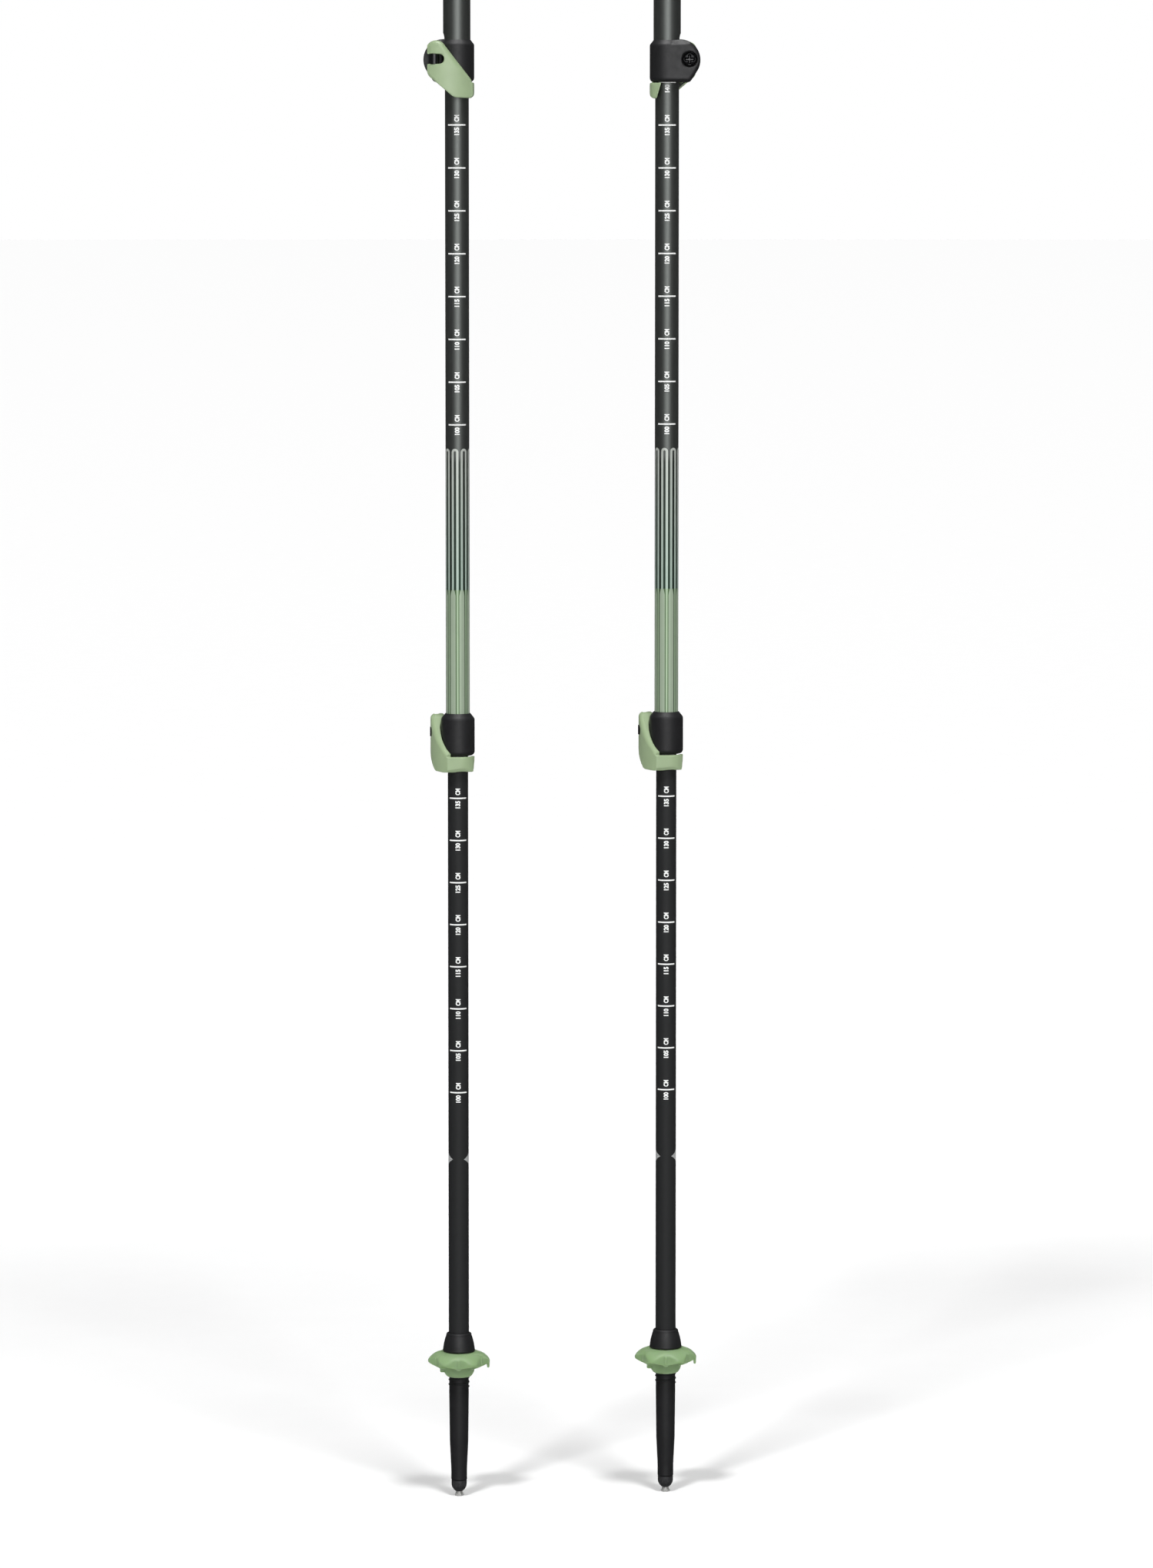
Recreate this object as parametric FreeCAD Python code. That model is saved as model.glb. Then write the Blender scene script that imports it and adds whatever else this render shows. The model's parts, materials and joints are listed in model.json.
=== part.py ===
"""A pair of three-section trekking poles with flip-lever clamps, at full length.

Units are millimetres, +Z is up. The origin is on the floor, midway between the two tips.
A clamp is drawn in its own frame: u runs from the shaft towards the clamp's ears, w is the
outward side of the lever's plate, and z = 0 is the collar's top face.
"""
import FreeCAD
import Part
import math
import os

# ---- driving dimensions --------------------------------------------------------------------
POLE_LENGTH = 1400.0
POLE_SPACING = 123.0
POLE_STAGGER = 12.0

UPPER_TUBE_R = 8.0
TUBE_WALL = 0.9
TUBE_RUN_GAP = 0.1
MIDDLE_TUBE_R = UPPER_TUBE_R - TUBE_WALL - TUBE_RUN_GAP
LOWER_TUBE_R = MIDDLE_TUBE_R - TUBE_WALL - TUBE_RUN_GAP
TUBE_INSERTION = 90.0
UPPER_CLAMP_Z = 863.0
LOWER_CLAMP_Z = 468.0

GLUE_GAP = 0.02
PIN_GAP = 0.06
BODY_GAP = 0.3

# Clamp: collar with two ears, lever, liner, barrel nut and screw
UPPER_COLLAR_WALL = 2.18
LOWER_COLLAR_WALL = 2.88
COLLAR_HEIGHT = 25.0
COLLAR_EDGE_R = 2.4
COLLAR_LIP = 2.0
COLLAR_LIP_GAP = 0.15
EAR_R = 12.1
EAR_TAPER_DEG = 2.7
EAR_TAIL_DEG = 33.0
EAR_CORNER_R = 2.0
EAR_SLIT = 1.5
SLOT_WIDTH = 7.0
SLOT_ABOVE_COLLAR = 3.6

PIVOT_OUT_U = 2.8
PIVOT_OUT_W = 0.4
SCREW_DEPTH = 11.8
CAM_R = 4.35
CAM_OFFSET = 0.28
CAM_GAP = 0.12
LEVER_CROWN_R = 24.4
LEVER_CROWN_U = 4.1
LEVER_CROWN_RISE = 4.3
LEVER_SLOT_R = 2.9
LEVER_SLOT_REACH = 3.0
HOOK_WALL = 2.0
HOOK_HEIGHT = 9.1
HOOK_END_DEG = 250.0
LINER_THICK = 1.0

BARREL_DRUM_R = 3.1
BARREL_TRUNNION_R = 2.0
BARREL_LENGTH = 15.5
SCREW_SHANK_R = 1.75
SCREW_HEAD_R = 4.2
SCREW_HEAD_HEIGHT = 2.6
SCREW_HEAD_SINK = 0.5
COUNTERBORE_R = 4.6
RECESS_WIDTH = 0.9
RECESS_LENGTH = 5.0
RECESS_DEPTH = 1.5

# Guide plugs in the top ends of the two inner tubes
BUSHING_HEAD = 12.0
BUSHING_SPIGOT = 18.0
BUSHING_BORE_R = 3.0

# Ferrule, basket and tip, by height above the floor
CONE_TOP_Z = 98.4
CONE_BOTTOM_Z = 87.3
CONE_TOP_R = LOWER_TUBE_R + 1.6
CONE_BOTTOM_R = LOWER_TUBE_R + 3.5
CONE_RIM = 1.2
TUBE_SEAT_DEPTH = 9.0
FERRULE_SPIGOT = 28.0
THREAD_CORE_R = 5.8
THREAD_CREST_R = 6.22
THREAD_PITCH = 2.8
THREAD_BOTTOM_Z = 65.3
THREAD_TURNS = 7.0
SPIKE_SEAT_R = 4.7
SPIKE_SEAT_LENGTH = 6.0
CUP_TOP_Z = 9.5
CUP_BOTTOM_Z = 2.8
CUP_R = 4.55
CUP_FLUTES = 16
TIP_SHANK_R = 1.5
TIP_FLARE_R = 2.4
TIP_NECK_R = 1.8
TIP_FLUTES = 8

BASKET_BOTTOM_Z = 72.0
BASKET_HUB_R = CONE_BOTTOM_R + 0.1
BASKET_R = 18.4
BASKET_LOBES = 6
BASKET_LOBE_R = 6.4
BASKET_WALL = 1.6
BASKET_BORE_GAP = 0.08

# Grip, head and wrist strap
CAP_HEIGHT = 26.0
GRIP_LENGTH = 122.0
EXTENSION_LENGTH = 140.0
EXTENSION_R = UPPER_TUBE_R + 5.0
SOFT_GAP = 1.0
STRAP_WIDTH = 24.0
STRAP_THICK = 1.6
STRAP_PIN_R = 1.5
STRAP_PIN_LENGTH = STRAP_WIDTH + 6.0
STRAP_PIN_BACK = UPPER_TUBE_R + 5.0
STRAP_EXIT_BACK = STRAP_PIN_BACK + 13.0
STRAP_NUB_R = 2.9
STRAP_SLOT_HEIGHT = 7.0
STRAP_DEPTH = 18.5
STRAP_LOOP_DROP = 152.0
STRAP_LOOP_R = 27.0
STRAP_LOOP_OUT = 24.5

# Each pole: its side of the pair, and the way its clamps' ears point
UPPER_EAR_DEG = {"left": 180.0, "right": 0.0}
LOWER_EAR_DEG = {"left": 107.0, "right": 107.0}

Z_AXIS = FreeCAD.Vector(0, 0, 1)
Y_AXIS = FreeCAD.Vector(0, 1, 0)
X_AXIS = FreeCAD.Vector(1, 0, 0)


# ---- drawing helpers -----------------------------------------------------------------------
def vec(x, y, z):
    return FreeCAD.Vector(x, y, z)


def outline(start, steps, place):
    """A face inside a closed outline of lines and arcs; place turns an (a, b) pair into a point."""
    here = place(*start)
    edges = []
    for step in steps:
        points = [place(*p) for p in step]
        if len(points) == 1:
            edges.append(Part.LineSegment(here, points[0]).toShape())
        else:
            edges.append(Part.Arc(here, points[0], points[1]).toShape())
        here = points[-1]
    return Part.Face(Part.Wire(edges))


def plan(z):
    """Places (u, w) pairs on a level plane."""
    return lambda u, w: vec(u, w, z)


def side(w):
    """Places (u, depth below the collar's top) pairs on an upright plane."""
    return lambda u, depth: vec(u, w, -depth)


def radial(r, z):
    """Places (radius, height) pairs for a turned profile."""
    return vec(r, 0, z)


def turned(points):
    """A solid of revolution about Z; an entry of two pairs is an arc through the first."""
    steps = [p if isinstance(p[0], tuple) else (p,) for p in points[1:]]
    steps.append((points[0],))
    return outline(points[0], steps, radial).revolve(vec(0, 0, 0), Z_AXIS, 360)


def rod(r, z0, z1, x=0.0, y=0.0):
    return Part.makeCylinder(r, z1 - z0, vec(x, y, z0), Z_AXIS)


def pipe(r_out, r_in, z0, z1):
    return rod(r_out, z0, z1).cut(rod(r_in, z0 - 1, z1 + 1))


def block(x0, x1, y0, y1, z0, z1):
    return Part.makeBox(x1 - x0, y1 - y0, z1 - z0, vec(x0, y0, z0))


def polar(r, degrees):
    angle = math.radians(degrees)
    return r * math.cos(angle), r * math.sin(angle)


def ring_of(shape, count):
    """Copies of a shape turned evenly about Z."""
    copies = []
    for i in range(count):
        copy = shape.copy()
        copy.rotate(vec(0, 0, 0), Z_AXIS, 360.0 * i / count)
        copies.append(copy)
    return copies


# ---- clamp ---------------------------------------------------------------------------------
class Clamp:
    """The sizes of one clamp, from the tube it grips and the tube that slides in it."""

    def __init__(self, tube_r, slide_r, wall):
        self.tube_r = tube_r
        self.slide_r = slide_r
        self.r = tube_r + GLUE_GAP + wall
        self.ear_u = self.r - 2.9
        self.pivot_u = self.r + PIVOT_OUT_U
        self.pivot_w = self.r + PIVOT_OUT_W
        self.cam_u = self.pivot_u - CAM_OFFSET
        self.cam_w = self.pivot_w - CAM_OFFSET
        self.ear_w = self.cam_w - CAM_R - CAM_GAP
        self.crown_w = self.r + LEVER_CROWN_RISE - LEVER_CROWN_R
        self.hook_out = self.r
        self.hook_in = self.r - HOOK_WALL + 0.2
        self.hook_top = COLLAR_HEIGHT + BODY_GAP
        self.hook_bottom = self.hook_top + HOOK_HEIGHT

    def crown(self, u):
        """The height w of the lever's crowned outer face at u."""
        across = u - (self.r - LEVER_CROWN_U)
        return self.crown_w + math.sqrt(LEVER_CROWN_R ** 2 - across ** 2)


UPPER = Clamp(UPPER_TUBE_R, MIDDLE_TUBE_R, UPPER_COLLAR_WALL)
LOWER = Clamp(MIDDLE_TUBE_R, LOWER_TUBE_R, LOWER_COLLAR_WALL)


def collar(c):
    """The split collar: a ring drawn out into two ears, with rounded edges all round."""
    lean = math.radians(EAR_TAPER_DEG)
    touch_u = c.r * math.sin(lean)
    touch_w = c.r * math.cos(lean)
    end_u = c.ear_u + EAR_R + 1
    end_w = touch_w - (end_u - touch_u) * math.tan(lean)
    shape = outline(
        (touch_u, touch_w),
        [((-c.r, 0), (touch_u, -touch_w)), ((end_u, -end_w),), ((end_u, end_w),), ((touch_u, touch_w),)],
        plan(-COLLAR_HEIGHT),
    ).extrude(Z_AXIS * COLLAR_HEIGHT)

    tail = math.radians(EAR_TAIL_DEG)
    tail_u = c.ear_u + EAR_R * math.cos(tail)
    tail_depth = EAR_R + EAR_R * math.sin(tail)
    foot_u = tail_u - (COLLAR_HEIGHT - tail_depth) * math.tan(tail)
    back_u = -c.r - 1
    ear_side = outline(
        (back_u, 0),
        [
            ((c.ear_u, 0),),
            ((c.ear_u + EAR_R, EAR_R), (tail_u, tail_depth)),
            ((foot_u, COLLAR_HEIGHT),),
            ((back_u, COLLAR_HEIGHT),),
            ((back_u, 0),),
        ],
        side(-c.r - 1),
    ).extrude(Y_AXIS * (2 * c.r + 2))
    shape = shape.common(ear_side)
    corner = [
        e
        for e in shape.Edges
        if all(abs(v.X - foot_u) < 0.01 and abs(v.Z + COLLAR_HEIGHT) < 0.01 for v in e.Vertexes)
    ]
    shape = shape.makeFillet(EAR_CORNER_R, corner)
    shape = shape.makeFillet(COLLAR_EDGE_R, [e for e in shape.Edges if is_rim(e, c, lean)])

    lever_side = block(0, end_u, c.ear_w, c.r + 1, -COLLAR_HEIGHT - 1, 1)
    shape = shape.cut(lever_side.cut(rod(c.r, -COLLAR_HEIGHT - 1, 1)))
    shape = shape.cut(rod(c.tube_r + GLUE_GAP, -COLLAR_HEIGHT + COLLAR_LIP, 1))
    shape = shape.cut(rod(c.slide_r + COLLAR_LIP_GAP, -COLLAR_HEIGHT - 1, 1))
    shape = shape.cut(block(0, end_u, -EAR_SLIT / 2, EAR_SLIT / 2, -COLLAR_HEIGHT - 1, 1))
    shape = shape.cut(across(c, SCREW_SHANK_R + PIN_GAP, -c.r - 1, c.r))
    return shape.cut(across(c, COUNTERBORE_R, -c.r - 1, head_seat(c)))


def is_rim(edge, c, lean):
    """True on the outer edges of the collar's top, bottom and ear faces."""
    middle = edge.valueAt((edge.FirstParameter + edge.LastParameter) / 2)
    ends = edge.Vertexes
    level = all(abs(v.Z - ends[0].Z) < 0.01 for v in ends)
    flat_face = abs(abs(middle.y) * math.cos(lean) + middle.x * math.sin(lean) - c.r) < 0.02
    round_face = abs(math.hypot(middle.x, middle.y) - c.r) < 0.02
    upright = abs(ends[0].X - ends[-1].X) < 0.01 and not level
    return (flat_face or round_face) and not upright


def across(c, r, w0, w1):
    """A cylinder on the tension screw's axis."""
    return Part.makeCylinder(r, w1 - w0, vec(c.pivot_u, w0, -SCREW_DEPTH), Y_AXIS)


def head_face(c):
    """Where the screw head's top lies, just under the ear's outer face."""
    lean = math.radians(EAR_TAPER_DEG)
    face = (c.r - c.pivot_u * math.sin(lean)) / math.cos(lean)
    return -face + SCREW_HEAD_SINK


def head_seat(c):
    return head_face(c) + SCREW_HEAD_HEIGHT


def tension_screw(c):
    """A round-head screw with a cross recess, threaded into the barrel nut."""
    top = head_face(c)
    head = across(c, SCREW_HEAD_R, top, head_seat(c))
    outer = [e for e in head.Edges if abs(e.CenterOfMass.y - top) < 0.01]
    shape = head.makeFillet(1.1, outer)
    shape = shape.fuse(across(c, SCREW_SHANK_R, head_seat(c) - 0.5, c.pivot_w + 1.6))
    for length, width in ((RECESS_LENGTH, RECESS_WIDTH), (RECESS_WIDTH, RECESS_LENGTH)):
        shape = shape.cut(block(
            c.pivot_u - length / 2, c.pivot_u + length / 2, top - 1, top + RECESS_DEPTH,
            -SCREW_DEPTH - width / 2, -SCREW_DEPTH + width / 2))
    return shape


def barrel_nut(c):
    """A drum with two trunnions on the lever's pivot axis, bored across for the screw."""
    drum_half = LEVER_SLOT_R - 0.15
    shape = rod(BARREL_DRUM_R, -SCREW_DEPTH - drum_half, -SCREW_DEPTH + drum_half, c.pivot_u, c.pivot_w)
    half = BARREL_LENGTH / 2
    shape = shape.fuse(rod(BARREL_TRUNNION_R, -SCREW_DEPTH - half, -SCREW_DEPTH + half,
                           c.pivot_u, c.pivot_w))
    return shape.cut(across(c, SCREW_SHANK_R + PIN_GAP, 0, c.pivot_w + 1.8))


def lever_side_face(c):
    """The lever seen square on to its plate, as (u, depth) pairs."""
    left = -c.hook_out
    right = c.cam_u + CAM_R + 0.13
    low = c.hook_bottom
    high = COLLAR_HEIGHT
    return outline(
        (right, 4.2),
        [
            ((right - 5.0, 1.0), (right - 10.5, 4.0)),
            ((left + 1.7, high - 1.3),),
            ((left + 0.4, high + 0.1), (left, high + 1.6)),
            ((left, low - 2.9),),
            ((left + 0.9, low - 0.9), (left + 3.4, low)),
            ((c.r - 9.7, low - 0.4),),
            ((c.r - 8.1, low - 1.0), (c.r - 6.9, low - 1.9)),
            ((c.r + 4.1, low - 11.2),),
            ((c.r + 6.2, low - 13.3), (right, low - 16.2)),
            ((right, 4.2),),
        ],
        side(-c.r - 2),
    )


def lever_outer_steps(c):
    """The crowned outer face from the cam end to the corner at the hook, in plan."""
    corner_u = 1.4 - c.hook_out
    middle_u = (c.pivot_u + corner_u) / 2
    return [((middle_u, c.crown(middle_u)), (corner_u, c.crown(corner_u)))]


def lever(c):
    """The flip lever: crowned plate over the ears, cam round the pivot, and hook round the tube."""
    cam_right = c.cam_u + CAM_R
    end_u = c.cam_u + 0.92 * CAM_R
    crown_end = (end_u, c.crown(end_u))
    clear = c.r + BODY_GAP
    cam_low = c.cam_w - CAM_R
    clear_u = math.sqrt(clear ** 2 - cam_low ** 2)
    inner_end = polar(clear, 140)
    plate = outline(
        crown_end,
        lever_outer_steps(c)
        + [
            (inner_end,),
            (polar(clear, 90), (clear_u, cam_low)),
            ((c.cam_u, cam_low),),
            ((cam_right, c.cam_w), crown_end),
        ],
        plan(-c.hook_top),
    ).extrude(Z_AXIS * c.hook_top)

    corner_u = 1.4 - c.hook_out
    corner_w = c.crown(corner_u)
    flat_top = (0.45 - c.hook_out, corner_w - 1.0)
    middle_u = (end_u + corner_u) / 2
    hook = outline(
        crown_end,
        [
            ((middle_u, c.crown(middle_u)), (corner_u, corner_w)),
            ((corner_u - 0.65, corner_w - 0.35), flat_top),
            (polar(c.hook_out, 174),),
            (polar(c.hook_out, 210), polar(c.hook_out, HOOK_END_DEG)),
            (polar(c.hook_in, HOOK_END_DEG),),
            (polar(c.hook_in, 180), (0, c.hook_in)),
            ((end_u, c.hook_in),),
            (crown_end,),
        ],
        plan(-c.hook_bottom - 1),
    ).extrude(Z_AXIS * (c.hook_bottom + 1 - c.hook_top))

    shape = plate.fuse(hook).common(lever_side_face(c).extrude(Y_AXIS * (2 * c.r + 12)))
    shape = shape.removeSplitter()
    tip_u = polar(c.hook_out, HOOK_END_DEG)[0]
    tip_cut = outline(
        (tip_u, c.hook_top - 0.2),
        [
            ((2, c.hook_top - 0.2),),
            ((2, c.hook_bottom + 1),),
            ((tip_u - 3.0, c.hook_bottom + 1),),
            ((tip_u, c.hook_top - 0.2),),
        ],
        side(-c.r - 2),
    ).extrude(Y_AXIS * (c.r + 1))
    shape = shape.cut(tip_cut)

    slot_end = c.pivot_u - LEVER_SLOT_REACH
    shape = shape.cut(block(slot_end, c.r + 10, 0, c.r + 8,
                            -SCREW_DEPTH - LEVER_SLOT_R, -SCREW_DEPTH + LEVER_SLOT_R))
    shape = shape.cut(Part.makeCylinder(LEVER_SLOT_R, c.r + 8, vec(slot_end, 0, -SCREW_DEPTH), Y_AXIS))
    low = -SCREW_DEPTH - BARREL_LENGTH / 2 - 0.2
    shape = shape.cut(rod(BARREL_TRUNNION_R + PIN_GAP, low, 1, c.pivot_u, c.pivot_w))
    return shape.cut(liner_face(c).extrude(Y_AXIS * (c.hook_in - 1)))


def liner_face(c):
    """The liner's outline, set in from the lever's edge."""
    low = c.hook_bottom
    return outline(
        (c.r - 0.9, COLLAR_HEIGHT - 4.4),
        [
            ((c.r + 4.6, COLLAR_HEIGHT - 4.4),),
            ((c.r + 3.4, low - 11.9),),
            ((c.r - 7.6, low - 2.6),),
            ((0.4, low - 1.9),),
            ((0.4, COLLAR_HEIGHT + 0.6),),
            ((c.r - 0.9, COLLAR_HEIGHT + 0.6),),
            ((c.r - 0.9, COLLAR_HEIGHT - 4.4),),
        ],
        side(1.0),
    )


def lever_liner(c):
    """The dark pad let into the lever's inside."""
    slab = liner_face(c).extrude(Y_AXIS * (c.hook_in - 1))
    inner = c.hook_in - LINER_THICK
    pad = slab.common(block(-c.r, 2 * c.r, inner, c.hook_in - GLUE_GAP, -c.hook_bottom, 0))
    return pad.cut(rod(c.slide_r + BODY_GAP, -c.hook_bottom - 1, 0))


def clamp_pieces(prefix, c, top_z, ear_deg):
    """All pieces of one clamp, turned to their ears' direction and lifted to their height."""
    pieces = {
        "collar": collar(c),
        "lever": lever(c),
        "lever_liner": lever_liner(c),
        "barrel_nut": barrel_nut(c),
        "tension_screw": tension_screw(c),
    }
    for shape in pieces.values():
        shape.rotate(vec(0, 0, 0), Z_AXIS, ear_deg)
        shape.translate(vec(0, 0, top_z))
    return {f"{prefix}_{name}": shape for name, shape in pieces.items()}


# ---- tubes and guide plugs -----------------------------------------------------------------
def slotted_tube(tube_r, clamp_z, top_z, ear_deg):
    """A tube whose lower end sits in a collar, with a compression slot on the ears' side."""
    bottom = clamp_z - COLLAR_HEIGHT + COLLAR_LIP + 0.1
    shape = pipe(tube_r, tube_r - TUBE_WALL, bottom, top_z)
    slot_top = clamp_z + SLOT_ABOVE_COLLAR - SLOT_WIDTH / 2
    slot = block(0, tube_r + 1, -SLOT_WIDTH / 2, SLOT_WIDTH / 2, bottom - 1, slot_top)
    slot = slot.fuse(Part.makeCylinder(SLOT_WIDTH / 2, tube_r + 1, vec(0, 0, slot_top), X_AXIS))
    slot.rotate(vec(0, 0, 0), Z_AXIS, ear_deg)
    return shape.cut(slot)


def bushing(outer_tube_r, tube_r, tube_top):
    """A moulded plug in a tube's top end, guiding it in the next tube's bore."""
    head_r = outer_tube_r - TUBE_WALL - PIN_GAP
    spigot_r = tube_r - TUBE_WALL - PIN_GAP
    top = tube_top + BODY_GAP + BUSHING_HEAD
    shape = turned([
        (BUSHING_BORE_R, tube_top - BUSHING_SPIGOT),
        (spigot_r - 0.6, tube_top - BUSHING_SPIGOT),
        (spigot_r, tube_top - BUSHING_SPIGOT + 0.6),
        (spigot_r, tube_top + BODY_GAP),
        (head_r, tube_top + BODY_GAP),
        (head_r, top - 1.2),
        (head_r - 1.2, top),
        (BUSHING_BORE_R, top),
    ])
    for notch in ring_of(block(head_r - 0.7, head_r + 1, -0.8, 0.8, tube_top + 3, top + 1), 6):
        shape = shape.cut(notch)
    return shape


# ---- ferrule, basket and tip ---------------------------------------------------------------
def ferrule():
    """Cone round the tube's end, core with the basket thread, and the tapering spike."""
    seat_z = CONE_TOP_Z - TUBE_SEAT_DEPTH
    socket_r = LOWER_TUBE_R + GLUE_GAP
    spigot_r = LOWER_TUBE_R - TUBE_WALL - GLUE_GAP
    spike_top = THREAD_BOTTOM_Z - 1.5
    seat_top = CUP_TOP_Z + 0.7 + SPIKE_SEAT_LENGTH
    shape = turned([
        (0, CUP_TOP_Z),
        (SPIKE_SEAT_R - 0.5, CUP_TOP_Z),
        (SPIKE_SEAT_R, CUP_TOP_Z + 0.7),
        (SPIKE_SEAT_R, seat_top),
        (5.5, seat_top + 17),
        (THREAD_CORE_R + 0.05, spike_top),
        (THREAD_CORE_R, spike_top + 0.5),
        (THREAD_CORE_R, CONE_BOTTOM_Z),
        (CONE_BOTTOM_R - 0.3, CONE_BOTTOM_Z),
        ((CONE_BOTTOM_R, CONE_BOTTOM_Z + 0.4), (CONE_BOTTOM_R - 0.05, CONE_BOTTOM_Z + 1.2)),
        ((CONE_BOTTOM_R - 0.7, CONE_BOTTOM_Z + 5.2), (CONE_TOP_R - 0.1, CONE_TOP_Z - 1.4)),
        ((CONE_TOP_R - 0.45, CONE_TOP_Z - 0.35), (CONE_TOP_R - CONE_RIM, CONE_TOP_Z)),
        ((socket_r + 0.15, CONE_TOP_Z - 0.7), (socket_r, CONE_TOP_Z - 1.6)),
        (socket_r, seat_z),
        (spigot_r, seat_z),
        (spigot_r, seat_z + FERRULE_SPIGOT - 1),
        (spigot_r - 1, seat_z + FERRULE_SPIGOT),
        (0, seat_z + FERRULE_SPIGOT),
    ])
    shape = shape.cut(rod(2.8 + GLUE_GAP, CUP_TOP_Z - 1, CUP_TOP_Z + 10))
    return shape.fuse(thread_ridge())


def thread_ridge():
    """The coarse helical ridge that holds the basket."""
    height = THREAD_PITCH * THREAD_TURNS
    root_r = THREAD_CORE_R - 0.3
    helix = Part.makeHelix(THREAD_PITCH, height, root_r)
    profile = Part.makePolygon([
        vec(root_r, 0, -0.85),
        vec(THREAD_CREST_R, 0, -0.25),
        vec(THREAD_CREST_R, 0, 0.25),
        vec(root_r, 0, 0.85),
        vec(root_r, 0, -0.85),
    ])
    ridge = Part.Wire(helix.Edges).makePipeShell([profile], True, True)
    ridge.translate(vec(0, 0, THREAD_BOTTOM_Z + 0.6))
    return ridge


def tip_cup():
    """The fluted cup that holds the hard tip, with its peg up into the ferrule."""
    shape = turned([
        (TIP_SHANK_R + GLUE_GAP, CUP_BOTTOM_Z),
        (TIP_NECK_R + 0.2, CUP_BOTTOM_Z),
        ((CUP_R - 0.9, CUP_BOTTOM_Z + 1.6), (CUP_R, CUP_TOP_Z - 2.4)),
        (CUP_R, CUP_TOP_Z - GLUE_GAP),
        (2.8, CUP_TOP_Z - GLUE_GAP),
        (2.8, CUP_TOP_Z + 9.5),
        (TIP_SHANK_R + GLUE_GAP, CUP_TOP_Z + 9.5),
    ])
    for flute in ring_of(rod(0.45, CUP_BOTTOM_Z, CUP_TOP_Z - 1.4, CUP_R + 0.15), CUP_FLUTES):
        shape = shape.cut(flute)
    return shape


def carbide_tip():
    """A hard-metal pin with a fluted, hollow-ground end."""
    shape = turned([
        (0, 0.8),
        (TIP_FLARE_R - 0.5, 0),
        (TIP_FLARE_R, 0),
        (TIP_FLARE_R, 0.5),
        (TIP_NECK_R, CUP_BOTTOM_Z - GLUE_GAP),
        (TIP_SHANK_R, CUP_BOTTOM_Z - GLUE_GAP),
        (TIP_SHANK_R, CUP_TOP_Z + 7),
        (0, CUP_TOP_Z + 7),
    ])
    flute = Part.makeCylinder(0.5, CUP_BOTTOM_Z + 1, vec(TIP_FLARE_R + 0.25, 0, -1), Z_AXIS)
    for cut in ring_of(flute, TIP_FLUTES):
        shape = shape.cut(cut)
    return shape


def basket():
    """The lobed basket: hub with a plain bore over the thread, domed lobes, and a rim hook."""
    top = CONE_BOTTOM_Z - BODY_GAP
    bore_r = THREAD_CREST_R + BASKET_BORE_GAP
    low = BASKET_BOTTOM_Z
    hub = turned([
        (bore_r, low),
        (bore_r + 0.6, low),
        ((BASKET_HUB_R - 1.1, low + 1.9), (BASKET_HUB_R - 0.3, low + 4.8)),
        (BASKET_HUB_R, low + 7.5),
        (BASKET_HUB_R, top),
        (bore_r, top),
    ])
    lobe_at = BASKET_R - BASKET_LOBE_R
    outer = rod(lobe_at - 0.4, low, top + 1)
    for lobe in ring_of(rod(BASKET_LOBE_R, low, top + 1, lobe_at), BASKET_LOBES):
        outer = outer.fuse(lobe)
    pockets = ring_of(rod(BASKET_LOBE_R - BASKET_WALL, low - 1, top + 1, lobe_at), BASKET_LOBES)
    inner = pockets[0].multiFuse(pockets[1:])
    dome = turned([
        (0, low + 5.0),
        (BASKET_HUB_R + 1.5, low + 5.3),
        (BASKET_R, low + 8.6),
        (BASKET_R + 0.2, low + 9.8),
        ((BASKET_R - 3.4, low + 13.4), (BASKET_HUB_R, top)),
        (0, top),
    ])
    hollow = turned([
        (0, low - 1),
        (BASKET_R - BASKET_WALL, low - 1),
        (BASKET_R - BASKET_WALL, low + 9.4),
        ((BASKET_R - 4.6, low + 12.0), (BASKET_HUB_R - 0.4, top - BASKET_WALL)),
        (0, top - BASKET_WALL),
    ])
    shape = dome.common(outer).cut(hollow.common(inner))
    shape = shape.cut(rod(bore_r + 0.5, low - 1, top + 1)).fuse(hub)
    hook = block(BASKET_R - 1.7, BASKET_R - 0.2, -2.2, 2.2, low + 5.2, low + 9.6)
    fin = block(-BASKET_HUB_R - 2.2, -BASKET_HUB_R + 1.2, -1.3, 1.3, low + 3.0, low + 8.0)
    fin.rotate(vec(0, 0, 0), Z_AXIS, 20)
    return shape.fuse(hook).fuse(fin).removeSplitter()


# ---- grip, head and strap ------------------------------------------------------------------
def ellipse_wire(half_x, half_y, z):
    """An ellipse at a height; the longer half goes first, as the geometry asks."""
    curve = Part.Ellipse(vec(0, 0, z), max(half_x, half_y), min(half_x, half_y))
    wire = Part.Wire([curve.toShape()])
    if half_y > half_x:
        wire.rotate(vec(0, 0, z), Z_AXIS, 90)
    return wire


def lofted(sections):
    return Part.makeLoft([ellipse_wire(x, y, z) for x, y, z in sections], True)


def grip(top_z):
    """The foam hand grip, flared at its foot and under the head."""
    low = top_z - GRIP_LENGTH
    bore = UPPER_TUBE_R + GLUE_GAP
    shape = lofted([
        (bore + 6.6, bore + 8.0, low),
        (bore + 9.0, bore + 11.0, low + 10),
        (bore + 6.4, bore + 8.4, low + 28),
        (bore + 7.2, bore + 9.6, low + 0.5 * GRIP_LENGTH),
        (bore + 7.6, bore + 10.2, low + 0.75 * GRIP_LENGTH),
        (bore + 9.4, bore + 12.6, top_z),
    ])
    return shape.cut(rod(bore, low - 1, top_z + 1))


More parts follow.
